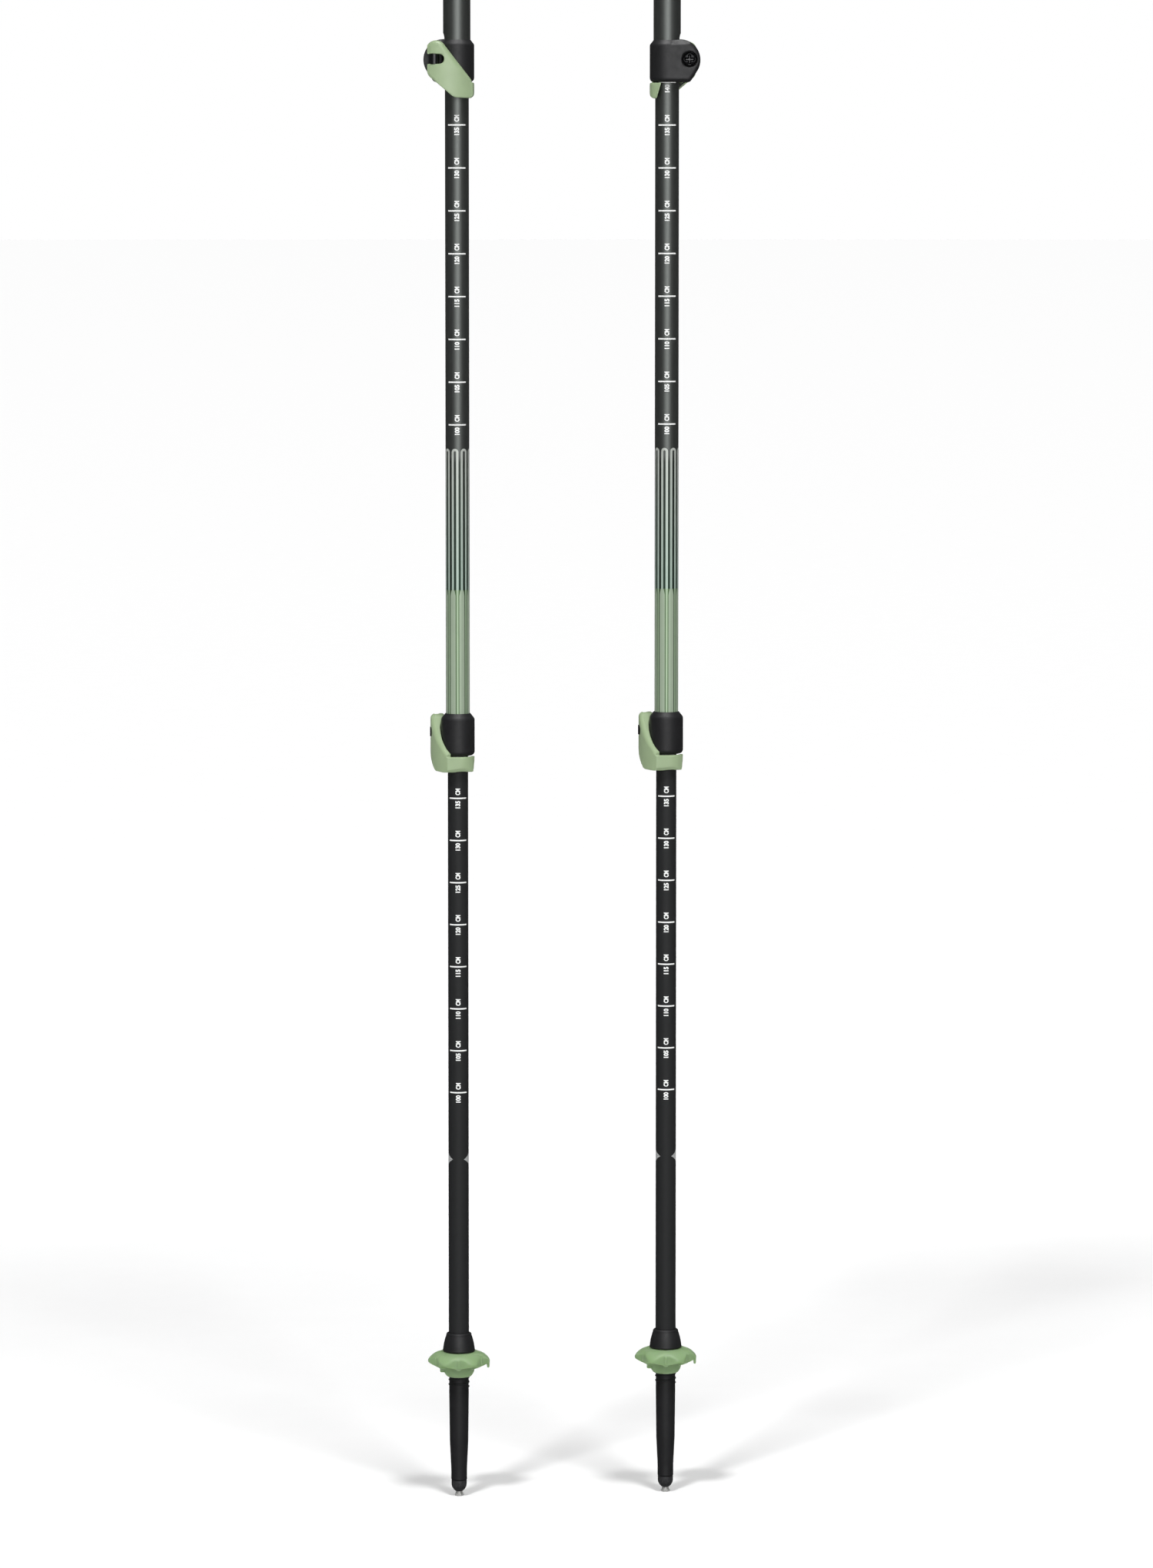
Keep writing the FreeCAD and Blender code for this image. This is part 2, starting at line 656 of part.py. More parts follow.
def grip_extension(top_z):
    """The foam sleeve below the grip for a shorter hold."""
    low = top_z - EXTENSION_LENGTH
    bore = UPPER_TUBE_R + GLUE_GAP
    shape = turned([
        (bore, low),
        (EXTENSION_R - 2.4, low),
        ((EXTENSION_R - 0.7, low + 0.8), (EXTENSION_R, low + 3)),
        (EXTENSION_R, top_z - 3),
        ((EXTENSION_R - 0.7, top_z - 0.8), (EXTENSION_R - 2.4, top_z)),
        (bore, top_z),
    ])
    return shape


def strap_axis_z():
    return POLE_LENGTH - STRAP_DEPTH


def grip_cap():
    """The moulded head: rounded top, socket for the tube, strap slot and pin hole."""
    low = POLE_LENGTH - CAP_HEIGHT
    z = strap_axis_z()
    half_x = STRAP_WIDTH / 2 + 6.9
    half_y = STRAP_EXIT_BACK - 2.8
    shape = lofted([
        (half_x - 1.3, half_y - 2.4, low),
        (half_x, half_y, low + 6),
        (half_x - 0.3, half_y - 0.3, low + 13),
        (half_x - 2.9, half_y - 3.6, low + 20),
        (half_x - 8.4, half_y - 9.6, low + 24.6),
        (3.0, 5.0, POLE_LENGTH),
    ])
    shape = shape.cut(rod(UPPER_TUBE_R + GLUE_GAP, low - 1, tube_top_z() + 0.2))
    half = STRAP_SLOT_HEIGHT / 2
    slot_half = STRAP_WIDTH / 2 + 0.8
    slot_back = -STRAP_PIN_BACK + half
    shape = shape.cut(block(-slot_half, slot_half, -40, -STRAP_PIN_BACK, z - half, z + half))
    rounded = Part.makeCylinder(half, 2 * slot_half, vec(-slot_half, slot_back - half, z), X_AXIS)
    shape = shape.cut(rounded)
    return shape.cut(strap_rod(STRAP_PIN_R + GLUE_GAP, STRAP_PIN_LENGTH + 20))


def tube_top_z():
    return POLE_LENGTH - CAP_HEIGHT + 14.0


def strap_rod(r, length):
    """A cylinder on the strap pin's axis."""
    return Part.makeCylinder(r, length, vec(-length / 2, -STRAP_PIN_BACK, strap_axis_z()), X_AXIS)


def strap_anchor():
    """The webbing inside the head, folded round the pin, ending flush with the slot's mouth."""
    z = strap_axis_z()
    inner = STRAP_PIN_R + 0.1
    outer = inner + STRAP_THICK
    mouth = -STRAP_EXIT_BACK + STRAP_NUB_R + BODY_GAP
    length = STRAP_WIDTH
    start = vec(-length / 2, -STRAP_PIN_BACK, z)
    shape = Part.makeCylinder(outer, length, start, X_AXIS)
    shape = shape.fuse(block(-length / 2, length / 2, mouth, -STRAP_PIN_BACK, z - outer, z + outer))
    shape = shape.cut(Part.makeCylinder(inner, length + 2, start - X_AXIS, X_AXIS))
    return shape.cut(block(-length, length, -STRAP_EXIT_BACK, -STRAP_PIN_BACK, z - inner, z + inner))


def strap_wedge():
    """The wedge that jams the two layers of webbing in the slot."""
    z = strap_axis_z()
    half = STRAP_PIN_R
    near = -STRAP_PIN_BACK - STRAP_PIN_R - 1.0
    far = -STRAP_EXIT_BACK + STRAP_NUB_R + BODY_GAP + 0.4
    profile = Part.makePolygon([
        vec(0, near, z - half),
        vec(0, near, z + half),
        vec(0, far, z + half - 0.5),
        vec(0, far, z - half + 0.5),
        vec(0, near, z - half),
    ])
    shape = Part.Face(profile).extrude(X_AXIS * (STRAP_WIDTH - 2))
    shape.translate(vec(1 - STRAP_WIDTH / 2, 0, 0))
    return shape


def strap():
    """The wrist loop: webbing hanging from the slot in a teardrop, open for the hand."""
    z = strap_axis_z()
    exit_y = -STRAP_EXIT_BACK
    centre_y = exit_y - STRAP_LOOP_OUT
    centre_z = z - STRAP_LOOP_DROP
    reach = math.hypot(STRAP_LOOP_OUT, STRAP_LOOP_DROP)
    towards = math.atan2(STRAP_LOOP_DROP, STRAP_LOOP_OUT)
    spread = math.acos(STRAP_LOOP_R / reach)

    def on_loop(angle):
        return centre_y + STRAP_LOOP_R * math.cos(angle), centre_z + STRAP_LOOP_R * math.sin(angle)

    band = outline(
        (exit_y, z),
        [
            (on_loop(towards - spread),),
            (on_loop(-math.pi / 2), on_loop(towards + spread)),
            ((exit_y, z),),
        ],
        lambda y, height: vec(-STRAP_WIDTH / 2, y, height),
    )
    wire = band.OuterWire
    outer = Part.Face(wire.makeOffset2D(STRAP_THICK / 2))
    inner = Part.Face(wire.makeOffset2D(-STRAP_THICK / 2))
    shape = outer.cut(inner).extrude(X_AXIS * STRAP_WIDTH)
    nub = Part.makeCylinder(STRAP_NUB_R, STRAP_WIDTH, vec(-STRAP_WIDTH / 2, exit_y, z), X_AXIS)
    return shape.fuse(nub)


# ---- assembly ------------------------------------------------------------------------------
def pole(side_name):
    """All the pieces of one pole, standing on the origin."""
    upper_deg = UPPER_EAR_DEG[side_name]
    lower_deg = LOWER_EAR_DEG[side_name]
    cap_low = POLE_LENGTH - CAP_HEIGHT
    grip_low = cap_low - SOFT_GAP - GRIP_LENGTH
    middle_top = UPPER_CLAMP_Z - COLLAR_HEIGHT + TUBE_INSERTION
    lower_top = LOWER_CLAMP_Z - COLLAR_HEIGHT + TUBE_INSERTION
    lower_bottom = CONE_TOP_Z - TUBE_SEAT_DEPTH + 0.1

    head = {
        "grip": grip(cap_low - SOFT_GAP),
        "grip_extension": grip_extension(grip_low - SOFT_GAP),
        "grip_cap": grip_cap(),
        "strap_pin": strap_rod(STRAP_PIN_R, STRAP_PIN_LENGTH),
        "strap_anchor": strap_anchor(),
        "strap_wedge": strap_wedge(),
        "strap": strap(),
    }
    for shape in head.values():
        shape.rotate(vec(0, 0, 0), Z_AXIS, upper_deg - 180)

    pieces = dict(head)
    pieces["upper_tube"] = slotted_tube(UPPER_TUBE_R, UPPER_CLAMP_Z, tube_top_z(), upper_deg)
    pieces.update(clamp_pieces("upper", UPPER, UPPER_CLAMP_Z, upper_deg))
    pieces["middle_bushing"] = bushing(UPPER_TUBE_R, MIDDLE_TUBE_R, middle_top)
    pieces["middle_tube"] = slotted_tube(MIDDLE_TUBE_R, LOWER_CLAMP_Z, middle_top, lower_deg)
    pieces.update(clamp_pieces("lower", LOWER, LOWER_CLAMP_Z, lower_deg))
    pieces["lower_bushing"] = bushing(MIDDLE_TUBE_R, LOWER_TUBE_R, lower_top)
    pieces["lower_tube"] = pipe(LOWER_TUBE_R, LOWER_TUBE_R - TUBE_WALL, lower_bottom, lower_top)
    pieces["ferrule"] = ferrule()
    pieces["basket"] = basket()
    pieces["tip_cup"] = tip_cup()
    pieces["carbide_tip"] = carbide_tip()
    return pieces


def main():
    os.makedirs("parts", exist_ok=True)
    for sign, side_name in ((-1, "left"), (1, "right")):
        place = vec(sign * POLE_SPACING / 2, sign * POLE_STAGGER / 2, 0)
        for name, shape in pole(side_name).items():
            shape.translate(place)
            shape.exportStep(f"parts/{side_name}_{name}.step")


main()
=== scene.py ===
"""Looks for a pair of trekking poles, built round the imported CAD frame.

Lengths are metres. Each pole stands on its own axis; "front" is the side towards the viewer (-Y),
and an angle round a pole is measured from the front, positive towards +X.
"""
import bmesh
import bpy
import json
import math
import numpy as np
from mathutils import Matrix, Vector, kdtree, noise


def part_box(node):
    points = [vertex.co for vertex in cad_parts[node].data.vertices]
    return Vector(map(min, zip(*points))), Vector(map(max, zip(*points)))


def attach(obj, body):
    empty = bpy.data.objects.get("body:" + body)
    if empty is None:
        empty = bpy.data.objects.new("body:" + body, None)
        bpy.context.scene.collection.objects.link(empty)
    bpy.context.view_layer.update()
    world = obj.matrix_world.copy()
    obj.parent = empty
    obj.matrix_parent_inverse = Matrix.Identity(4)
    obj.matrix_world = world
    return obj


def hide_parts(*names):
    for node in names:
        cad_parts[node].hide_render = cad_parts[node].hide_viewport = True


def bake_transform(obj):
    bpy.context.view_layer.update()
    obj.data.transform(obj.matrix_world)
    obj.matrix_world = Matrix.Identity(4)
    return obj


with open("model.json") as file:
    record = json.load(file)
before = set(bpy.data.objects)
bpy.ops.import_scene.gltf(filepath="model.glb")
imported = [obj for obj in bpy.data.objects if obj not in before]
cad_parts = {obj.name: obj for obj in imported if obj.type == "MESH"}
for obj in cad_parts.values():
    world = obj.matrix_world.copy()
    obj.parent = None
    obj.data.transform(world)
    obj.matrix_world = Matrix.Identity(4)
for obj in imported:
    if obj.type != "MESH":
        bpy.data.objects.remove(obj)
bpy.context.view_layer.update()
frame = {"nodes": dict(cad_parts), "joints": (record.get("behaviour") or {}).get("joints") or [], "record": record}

MM = 0.001
SIDES = ("left", "right")

# Camera: a long lens, standing just lower than the upper clamps
CAMERA_AT = (0.0084, -3.60, 0.791)
CAMERA_PITCH_DEG = 4.92
CAMERA_LENS_MM = 140.6
CAMERA_SHIFT = -0.06

# Brightness of the surroundings: as light falling on things, and as mirrored in them
AMBIENT = 0.26
MIRRORED = 0.10

# Printed scale
MARK_STEP = 25 * MM
MARK_FIRST = 140
MARK_LAST = 100
MARK_LABEL_STEP = 5
LINE_WIDTH = 11.2 * MM
LINE_HEIGHT = 0.8 * MM
LETTER_HEIGHT = 2.9 * MM
UNIT_LENGTH = 3.9 * MM
NUMBER_LENGTH = 4.4 * MM
UNIT_GAP = 1.9 * MM
NUMBER_GAP = 1.5 * MM
INK = 0.03 * MM

# Stripes on the middle tubes: drops from the upper collar's top, and lines in degrees round the tube
STRIPE_TOP_DROP = 239 * MM
STRIPE_FLARE_DROP = 322 * MM
STRIPE_FLARE = 3.6 * MM
STRIPE_PAIR_DEG = 45.0
STRIPE_HALF_DEG = 5.625
STRIPE_WIDE_HALF_DEG = 13.5
STRIPE_NARROW_HALF_DEG = 4.5
STRIPE_BLUR_DEG = 0.5

# Silver print on the lower tubes
NOTCH_Z = 203 * MM
NOTCH_HALF_HEIGHT = 4.3 * MM
NOTCH_WAIST_DEG = 32.0

# Softened levers: ends of the cam and foot are depths below the lever's pivot, and the notch for
# the nut starts at a distance out from it
LEVER_VOXEL = 0.28 * MM
LEVER_EDGE_R = 1.1 * MM
LEVER_CAM_EDGE_R = 2.8 * MM
LEVER_CAM_END = 11 * MM
LEVER_CAM_BLEND = 9 * MM
LEVER_FOOT_END = 15 * MM
LEVER_FOOT_BLEND = 3 * MM
LEVER_NOTCH_HALF = 3.6 * MM
LEVER_NOTCH_START = -8 * MM
CROWN_STEP = 0.3 * MM

# Softened collars
COLLAR_VOXEL = 0.38 * MM
COLLAR_BEVEL = 3.2 * MM
COLLAR_BEVEL_SLOPE = 0.8
COLLAR_BLEND = 3 * MM

# Softened screw heads
SCREW_VOXEL = 0.2 * MM
SCREW_HEAD_R = 4.2 * MM
SCREW_DOME = 0.9 * MM
SCREW_DOME_DEPTH = 1.2 * MM
CROSS_HALF = 0.75 * MM
CROSS_REACH = 2.9 * MM
CROSS_DEPTH = 1.3 * MM

# Softened baskets: the CAD petals' outline, the wave they become, and their roof and underside
BASKET_VOXEL = 0.38 * MM
BASKET_HUB_R = 9.6 * MM
BASKET_LOBE_AT = 12 * MM
BASKET_LOBE_R = 6.4 * MM
BASKET_MEAN_R = 16.9 * MM
BASKET_WAVE = 1.5 * MM
BASKET_ROOF_DROP = 5.4 * MM
BASKET_ROOF_RUN = 9 * MM
BASKET_DEPTH = 10 * MM
BASKET_UNDER_START = 11.1 * MM
BASKET_UNDER_RUN = 7.3 * MM
BASKET_UNDER_RISE = 3.3 * MM

# Foam
FOAM_STEP = 0.45 * MM
FOAM_GLUE = 0.02 * MM

# Wrist strap
STRAP_LOOP_R = 27 * MM
STRAP_THICK = 1.6 * MM
STRAP_LAYER = 2.4 * MM
STRAP_SPACING = 0.7 * MM
PAD_THICK = 2.6 * MM
PAD_SPREAD_DEG = 112.0
STITCH_PITCH = 2.6 * MM
STITCH_INSET = 2.2 * MM
STITCH_R = 0.28 * MM


# ---- frame ---------------------------------------------------------------------------------
def centre_of(node):
    low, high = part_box(node)
    return (low + high) / 2


def axis_of(side):
    """A point on the pole's own axis, from its lower tube."""
    middle = centre_of(f"{side}_lower_tube")
    return Vector((middle.x, middle.y, 0))


def tube_radius(side, name):
    """The outside radius of a tube, from its box across X (the slots leave one side whole)."""
    low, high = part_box(f"{side}_{name}_tube")
    axis = axis_of(side)
    return max(high.x - axis.x, axis.x - low.x)


def joint(name):
    return next(j for j in frame["joints"] if j["name"] == name)


def faces_back(side):
    """-1 where the grip's strap is on the front of the pole, +1 where it is behind."""
    return -1 if joint(f"{side}_strap_swing")["pos_m"][1] < axis_of(side).y else 1


# ---- material nodes ------------------------------------------------------------------------
def srgb(red, green, blue):
    """A linear colour from 0-255 screen values."""
    linear = [(v / 255 / 12.92) if v <= 10 else ((v / 255 + 0.055) / 1.055) ** 2.4
              for v in (red, green, blue)]
    return (*linear, 1.0)


class Finish:
    """A node material, with short calls for the nodes that the finishes here share."""

    def __init__(self, name, **values):
        self.material = bpy.data.materials.new(name)
        self.material.use_nodes = True
        self.tree = self.material.node_tree
        self.shader = self.tree.nodes["Principled BSDF"]
        self.place = self.node("ShaderNodeTexCoord").outputs["Object"]
        for socket, value in values.items():
            self.set(socket.replace("_", " "), value)

    def node(self, kind, **settings):
        made = self.tree.nodes.new(kind)
        for name, value in settings.items():
            setattr(made, name, value)
        return made

    def plug(self, socket, value):
        if isinstance(value, bpy.types.NodeSocket):
            self.tree.links.new(value, socket)
        else:
            socket.default_value = value

    def set(self, socket, value):
        self.plug(self.shader.inputs[socket], value)

    def math(self, operation, *values):
        made = self.node("ShaderNodeMath", operation=operation)
        for socket, value in zip(made.inputs, values):
            self.plug(socket, value)
        return made.outputs[0]

    def mix(self, factor, first, second):
        made = self.node("ShaderNodeMix", data_type="RGBA")
        self.plug(made.inputs[0], factor)
        self.plug(made.inputs[6], first)
        self.plug(made.inputs[7], second)
        return made.outputs[2]

    def range(self, value, low, high, to_low=0.0, to_high=1.0):
        made = self.node("ShaderNodeMapRange")
        for socket, number in zip(made.inputs, (value, low, high, to_low, to_high)):
            self.plug(socket, number)
        return made.outputs[0]

    def stretched(self, scale):
        made = self.node("ShaderNodeMapping")
        self.plug(made.inputs["Vector"], self.place)
        self.plug(made.inputs["Scale"], scale)
        return made.outputs[0]

    def noise(self, scale, detail=3.0, rough=0.55, where=None):
        made = self.node("ShaderNodeTexNoise")
        self.plug(made.inputs["Vector"], where or self.place)
        self.plug(made.inputs["Scale"], scale)
        self.plug(made.inputs["Detail"], detail)
        self.plug(made.inputs["Roughness"], rough)
        return made.outputs["Fac"]

    def cells(self, scale):
        made = self.node("ShaderNodeTexVoronoi")
        self.plug(made.inputs["Vector"], self.place)
        self.plug(made.inputs["Scale"], scale)
        return made.outputs["Distance"]

    def bump(self, height, depth):
        made = self.node("ShaderNodeBump")
        self.plug(made.inputs["Height"], height)
        self.plug(made.inputs["Distance"], depth)
        self.plug(made.inputs["Strength"], 1.0)
        self.set("Normal", made.outputs[0])

    def split(self, origin):
        """Object coordinates from an origin, as three sockets."""
        moved = self.node("ShaderNodeVectorMath", operation="SUBTRACT")
        self.plug(moved.inputs[0], self.place)
        self.plug(moved.inputs[1], tuple(origin))
        parts = self.node("ShaderNodeSeparateXYZ")
        self.plug(parts.inputs[0], moved.outputs[0])
        return parts.outputs

    def angle_round(self, x, y):
        """Degrees round the pole's axis from the front, positive towards +X."""
        return self.math("DEGREES", self.math("ARCTAN2", x, self.math("MULTIPLY", y, -1.0)))


def soft_step(finish, value, edge, width):
    """1 where value is under edge, 0 over it, with a narrow blend between."""
    return finish.range(value, edge - width / 2, edge + width / 2, 1.0, 0.0)


def grained(name, colour, rough, grain_mm=0.25, depth_mm=0.012, vary=0.12, **values):
    """Moulded plastic: a fine spark-eroded grain, slight mottling and uneven gloss."""
    finish = Finish(name, **values)
    mottle = finish.noise(90.0, 4.0)
    shade = tuple(c * (1 - vary) for c in colour[:3]) + (1.0,)
    light = tuple(min(1.0, c * (1 + vary)) for c in colour[:3]) + (1.0,)
    finish.set("Base Color", finish.mix(finish.range(mottle, 0.3, 0.7), shade, light))
    grain = finish.noise(1 / (grain_mm * MM), 2.0)
    finish.set("Roughness", finish.range(finish.noise(420.0, 3.0), 0.3, 0.7, rough - 0.05, rough + 0.06))
    finish.bump(grain, depth_mm * MM)
    return finish


def metal(name, colour, rough, metallic, stretch=(1, 1, 0.04), scale=2600.0, depth_mm=0.004):
    """Metal with a drawn or turned grain running one way."""
    finish = Finish(name, Metallic=metallic)
    streak = finish.noise(scale, 4.0, 0.6, finish.stretched(stretch))
    dark = tuple(c * 0.86 for c in colour[:3]) + (1.0,)
    light = tuple(min(1.0, c * 1.12) for c in colour[:3]) + (1.0,)
    finish.set("Base Color", finish.mix(finish.range(streak, 0.3, 0.7), dark, light))
    finish.set("Roughness", finish.range(streak, 0.25, 0.75, rough - 0.04, rough + 0.06))
    finish.bump(streak, depth_mm * MM)
    return finish


# ---- tube finishes -------------------------------------------------------------------------
CHARCOAL = srgb(92, 95, 93)
TUBE_BLACK = srgb(34, 35, 36)


def anodised(finish, colour, metallic, rough):
    """Satin anodising: faint streaks along the tube and a slightly uneven sheen."""
    streak = finish.noise(1500.0, 4.0, 0.6, finish.stretched((1, 1, 0.02)))
    finish.set("Metallic", metallic)
    finish.set("Roughness", finish.range(streak, 0.3, 0.7, rough - 0.03, rough + 0.04))
    finish.bump(finish.noise(5200.0, 2.0), 0.003 * MM)
    dark = finish.mix(0.09, colour, (0, 0, 0, 1))
    return finish.mix(finish.range(streak, 0.3, 0.7), dark, colour)


def charcoal_tube():
    finish = Finish("tube_charcoal", Specular_IOR_Level=0.4)
    finish.set("Base Color", anodised(finish, CHARCOAL, 0.85, 0.42))
    return finish


def striped_tube(side):
    """Charcoal with sixteen light lines, looped in pairs at the top and flared into bands below."""
    finish = Finish(f"{side}_tube_striped", Specular_IOR_Level=0.4)
    base = anodised(finish, CHARCOAL, 0.85, 0.42)
    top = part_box(f"{side}_upper_collar")[1].z - STRIPE_TOP_DROP
    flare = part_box(f"{side}_upper_collar")[1].z - STRIPE_FLARE_DROP
    radius = (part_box(f"{side}_middle_bushing")[1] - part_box(f"{side}_middle_bushing")[0]).x / 2
    x, y, z = finish.split(axis_of(side))
    degrees = finish.angle_round(x, y)
    per_degree = math.radians(1) * radius

    half_line = STRIPE_HALF_DEG
    pair = STRIPE_PAIR_DEG
    blur = STRIPE_BLUR_DEG
    in_pair = finish.math("WRAP", finish.math("ADD", degrees, pair / 4), pair / 2, -pair / 2)
    across = finish.math("MULTIPLY", in_pair, per_degree)
    arch_outer = 3 * half_line * per_degree
    arch_inner = half_line * per_degree
    above = finish.math("MAXIMUM", finish.math("SUBTRACT", z, top - arch_outer), 0.0)
    reach = finish.math("SQRT", finish.math(
        "ADD", finish.math("MULTIPLY", across, across), finish.math("MULTIPLY", above, above)))
    arch_blur = 0.10 * MM
    loops = finish.math("MULTIPLY", soft_step(finish, reach, arch_outer, arch_blur),
                        finish.math("SUBTRACT", 1.0, soft_step(finish, reach, arch_inner, arch_blur)))

    off_wide = finish.math("ABSOLUTE", finish.math(
        "WRAP", finish.math("SUBTRACT", degrees, pair / 2), pair / 2, -pair / 2))
    flared = finish.range(z, flare - STRIPE_FLARE, flare, 1.0, 0.0)
    bow = finish.math("POWER", flared, 0.6)
    wide_half = finish.math("ADD", half_line, finish.math(
        "MULTIPLY", bow, STRIPE_WIDE_HALF_DEG - half_line))
    narrow_half = finish.math("SUBTRACT", half_line, finish.math(
        "MULTIPLY", bow, half_line - STRIPE_NARROW_HALF_DEG))
    wide = finish.range(finish.math("SUBTRACT", off_wide, wide_half), -blur, blur, 1.0, 0.0)
    narrow_off = finish.math("SUBTRACT", pair / 2, off_wide)
    narrow = finish.range(finish.math("SUBTRACT", narrow_off, narrow_half), -blur, blur, 1.0, 0.0)
    bands = finish.math("MAXIMUM", wide, narrow)

    below = finish.range(z, flare - 0.2 * MM, flare + 0.2 * MM, 1.0, 0.0)
    drawn = finish.math("ADD", finish.math("MULTIPLY", below, bands),
                        finish.math("MULTIPLY", finish.math("SUBTRACT", 1.0, below), loops))

    fade = finish.range(z, flare, top, 0.0, 1.0)
    line_colour = finish.mix(fade, srgb(158, 178, 166), srgb(176, 180, 174))
    band_colour = finish.mix(wide, srgb(150, 172, 142), srgb(154, 170, 148))
    light = finish.mix(below, line_colour, band_colour)
    gap_colour = finish.mix(fade, srgb(46, 62, 52), srgb(58, 62, 58))
    gap = finish.mix(below, gap_colour, srgb(82, 104, 74))
    striped = finish.range(z, top - 2 * arch_outer, top - 4 * arch_outer, 0.0, 1.0)
    ground = finish.mix(striped, base, gap)
    finish.set("Base Color", finish.mix(drawn, ground, light))
    finish.set("Metallic", finish.range(drawn, 0.0, 1.0, 0.85, 0.15))
    return finish


def black_tube(side):
    """Matt black, with a silver print pinched into an hourglass of black at the front."""
    finish = Finish(f"{side}_tube_black", Specular_IOR_Level=0.25)
    base = anodised(finish, TUBE_BLACK, 0.05, 0.6)
    x, y, z = finish.split(axis_of(side))
    off_front = finish.math("ABSOLUTE", finish.angle_round(x, y))
    height = finish.math("ABSOLUTE", finish.math("SUBTRACT", z, NOTCH_Z))
    reach = finish.math("DIVIDE", height, NOTCH_HALF_HEIGHT)
    waist = finish.math("ADD", NOTCH_WAIST_DEG, finish.math(
        "MULTIPLY", finish.math("POWER", reach, 0.85), 90.0 - NOTCH_WAIST_DEG))
    silver = finish.math("MULTIPLY",
                         finish.range(finish.math("SUBTRACT", off_front, waist), -0.6, 0.6, 0.0, 1.0),
                         soft_step(finish, reach, 1.0, 0.02))
    hatch = finish.node("ShaderNodeTexWave", wave_type="BANDS", bands_direction="DIAGONAL")
    finish.plug(hatch.inputs["Vector"], finish.place)
    finish.plug(hatch.inputs["Scale"], 520.0)
    foil = finish.mix(hatch.outputs["Fac"], srgb(188, 190, 190), srgb(228, 229, 229))
    finish.set("Base Color", finish.mix(silver, base, foil))
    finish.set("Metallic", finish.math("MULTIPLY", silver, 0.6))
    return finish


# ---- other finishes ------------------------------------------------------------------------
def foam():
    """Closed-cell foam: small open pores at the skin and soft mottling."""
    finish = Finish("grip_foam")
    pores = finish.cells(2300.0)
    mottle = finish.noise(160.0, 5.0)
    shade, light = srgb(38, 39, 40), srgb(54, 55, 56)
    finish.set("Base Color", finish.mix(finish.range(mottle, 0.3, 0.7), shade, light))
    finish.set("Roughness", finish.range(pores, 0.0, 0.6, 0.95, 0.78))
    finish.bump(finish.math("ADD", finish.range(pores, 0.1, 0.5), finish.math("MULTIPLY", mottle, 0.8)),
                0.05 * MM)
    return finish


def webbing(side):
    """Woven tape: a twill weave in relief, dark with a sage stripe down the middle; the colour has painted shade,
    darker in the weave's hollows and lighter on its crests.
    """
    finish = Finish(f"{side}_webbing")
    origin = Vector(joint(f"{side}_strap_swing")["pos_m"])
    x, y, z = finish.split(origin)
    along = finish.math("ADD", finish.math("MULTIPLY", y, 0.35), z)
    thread = 0.9 * MM
    rib = finish.math("SINE", finish.math("MULTIPLY", x, 2 * math.pi / thread))
    twill = finish.math("SINE", finish.math(
        "ADD", finish.math("MULTIPLY", along, 2 * math.pi / thread),
        finish.math("MULTIPLY", finish.math("ABSOLUTE", x), 2 * math.pi / (2 * thread))))
    weave = finish.math("MULTIPLY", rib, twill)
    stripe = soft_step(finish, finish.math("ABSOLUTE", x), 2.6 * MM, 0.25 * MM)
    fibre = finish.noise(5200.0, 3.0)
    # painted shade: both the black and the sage are painted darker in the weave's hollows and lighter on its
    # crests, following the same relief as the bump
    dark = finish.mix(finish.range(weave, -1.0, 1.0), srgb(24, 25, 25), srgb(52, 54, 53))
    sage = finish.mix(finish.range(weave, -1.0, 1.0), srgb(112, 132, 98), srgb(166, 184, 148))
    cloth = finish.mix(stripe, dark, sage)
    fuzz = finish.range(fibre, 0.2, 0.9, 0.0, 0.3)
    finish.set("Base Color", finish.mix(fuzz, cloth, srgb(90, 92, 90)))
    finish.set("Roughness", 0.82)
    finish.set("Sheen Weight", 0.25)
    finish.bump(weave, 0.09 * MM)
    return finish


def liner_cloth():
    """Brushed knit on the strap's pad: short pile with a faint knit behind it."""
    finish = Finish("strap_lining", Sheen_Weight=0.5, Sheen_Roughness=0.5)
    knit = finish.cells(900.0)
    pile = finish.noise(3600.0, 5.0, 0.7)
    shade, light = srgb(40, 42, 41), srgb(74, 78, 75)
    finish.set("Base Color", finish.mix(finish.range(pile, 0.3, 0.7), shade, light))
    finish.set("Roughness", finish.range(pile, 0.2, 0.8, 0.86, 0.98))
    finish.bump(finish.math("ADD", knit, pile), 0.12 * MM)
    return finish


def thread():
    """Bonded sewing thread with its two-ply twist."""
    finish = Finish("stitching", Sheen_Weight=0.2)
    twist = finish.noise(7000.0, 2.0)
    finish.set("Base Color", finish.mix(twist, srgb(140, 160, 124), srgb(184, 200, 168)))
    finish.set("Roughness", 0.7)
    finish.bump(twist, 0.03 * MM)
    return finish


def ink():
    """White screen print, a little thin in places."""
    finish = Finish("scale_ink")
    cover = finish.noise(2400.0, 3.0)
    thin, full = srgb(222, 224, 222), srgb(246, 247, 246)
    finish.set("Base Color", finish.mix(finish.range(cover, 0.3, 0.6), thin, full))
    finish.set("Roughness", 0.5)
    return finish


def basket_plastic():
    """Slightly translucent sage plastic, so that thin walls glow."""
    finish = grained("basket_plastic", srgb(134, 160, 118), 0.42, 0.3, 0.01, 0.06)
    finish.set("Subsurface Weight", 0.85)
    finish.set("Subsurface Radius", (0.9, 1.0, 0.7))
    finish.set("Subsurface Scale", 5 * MM)
    return finish


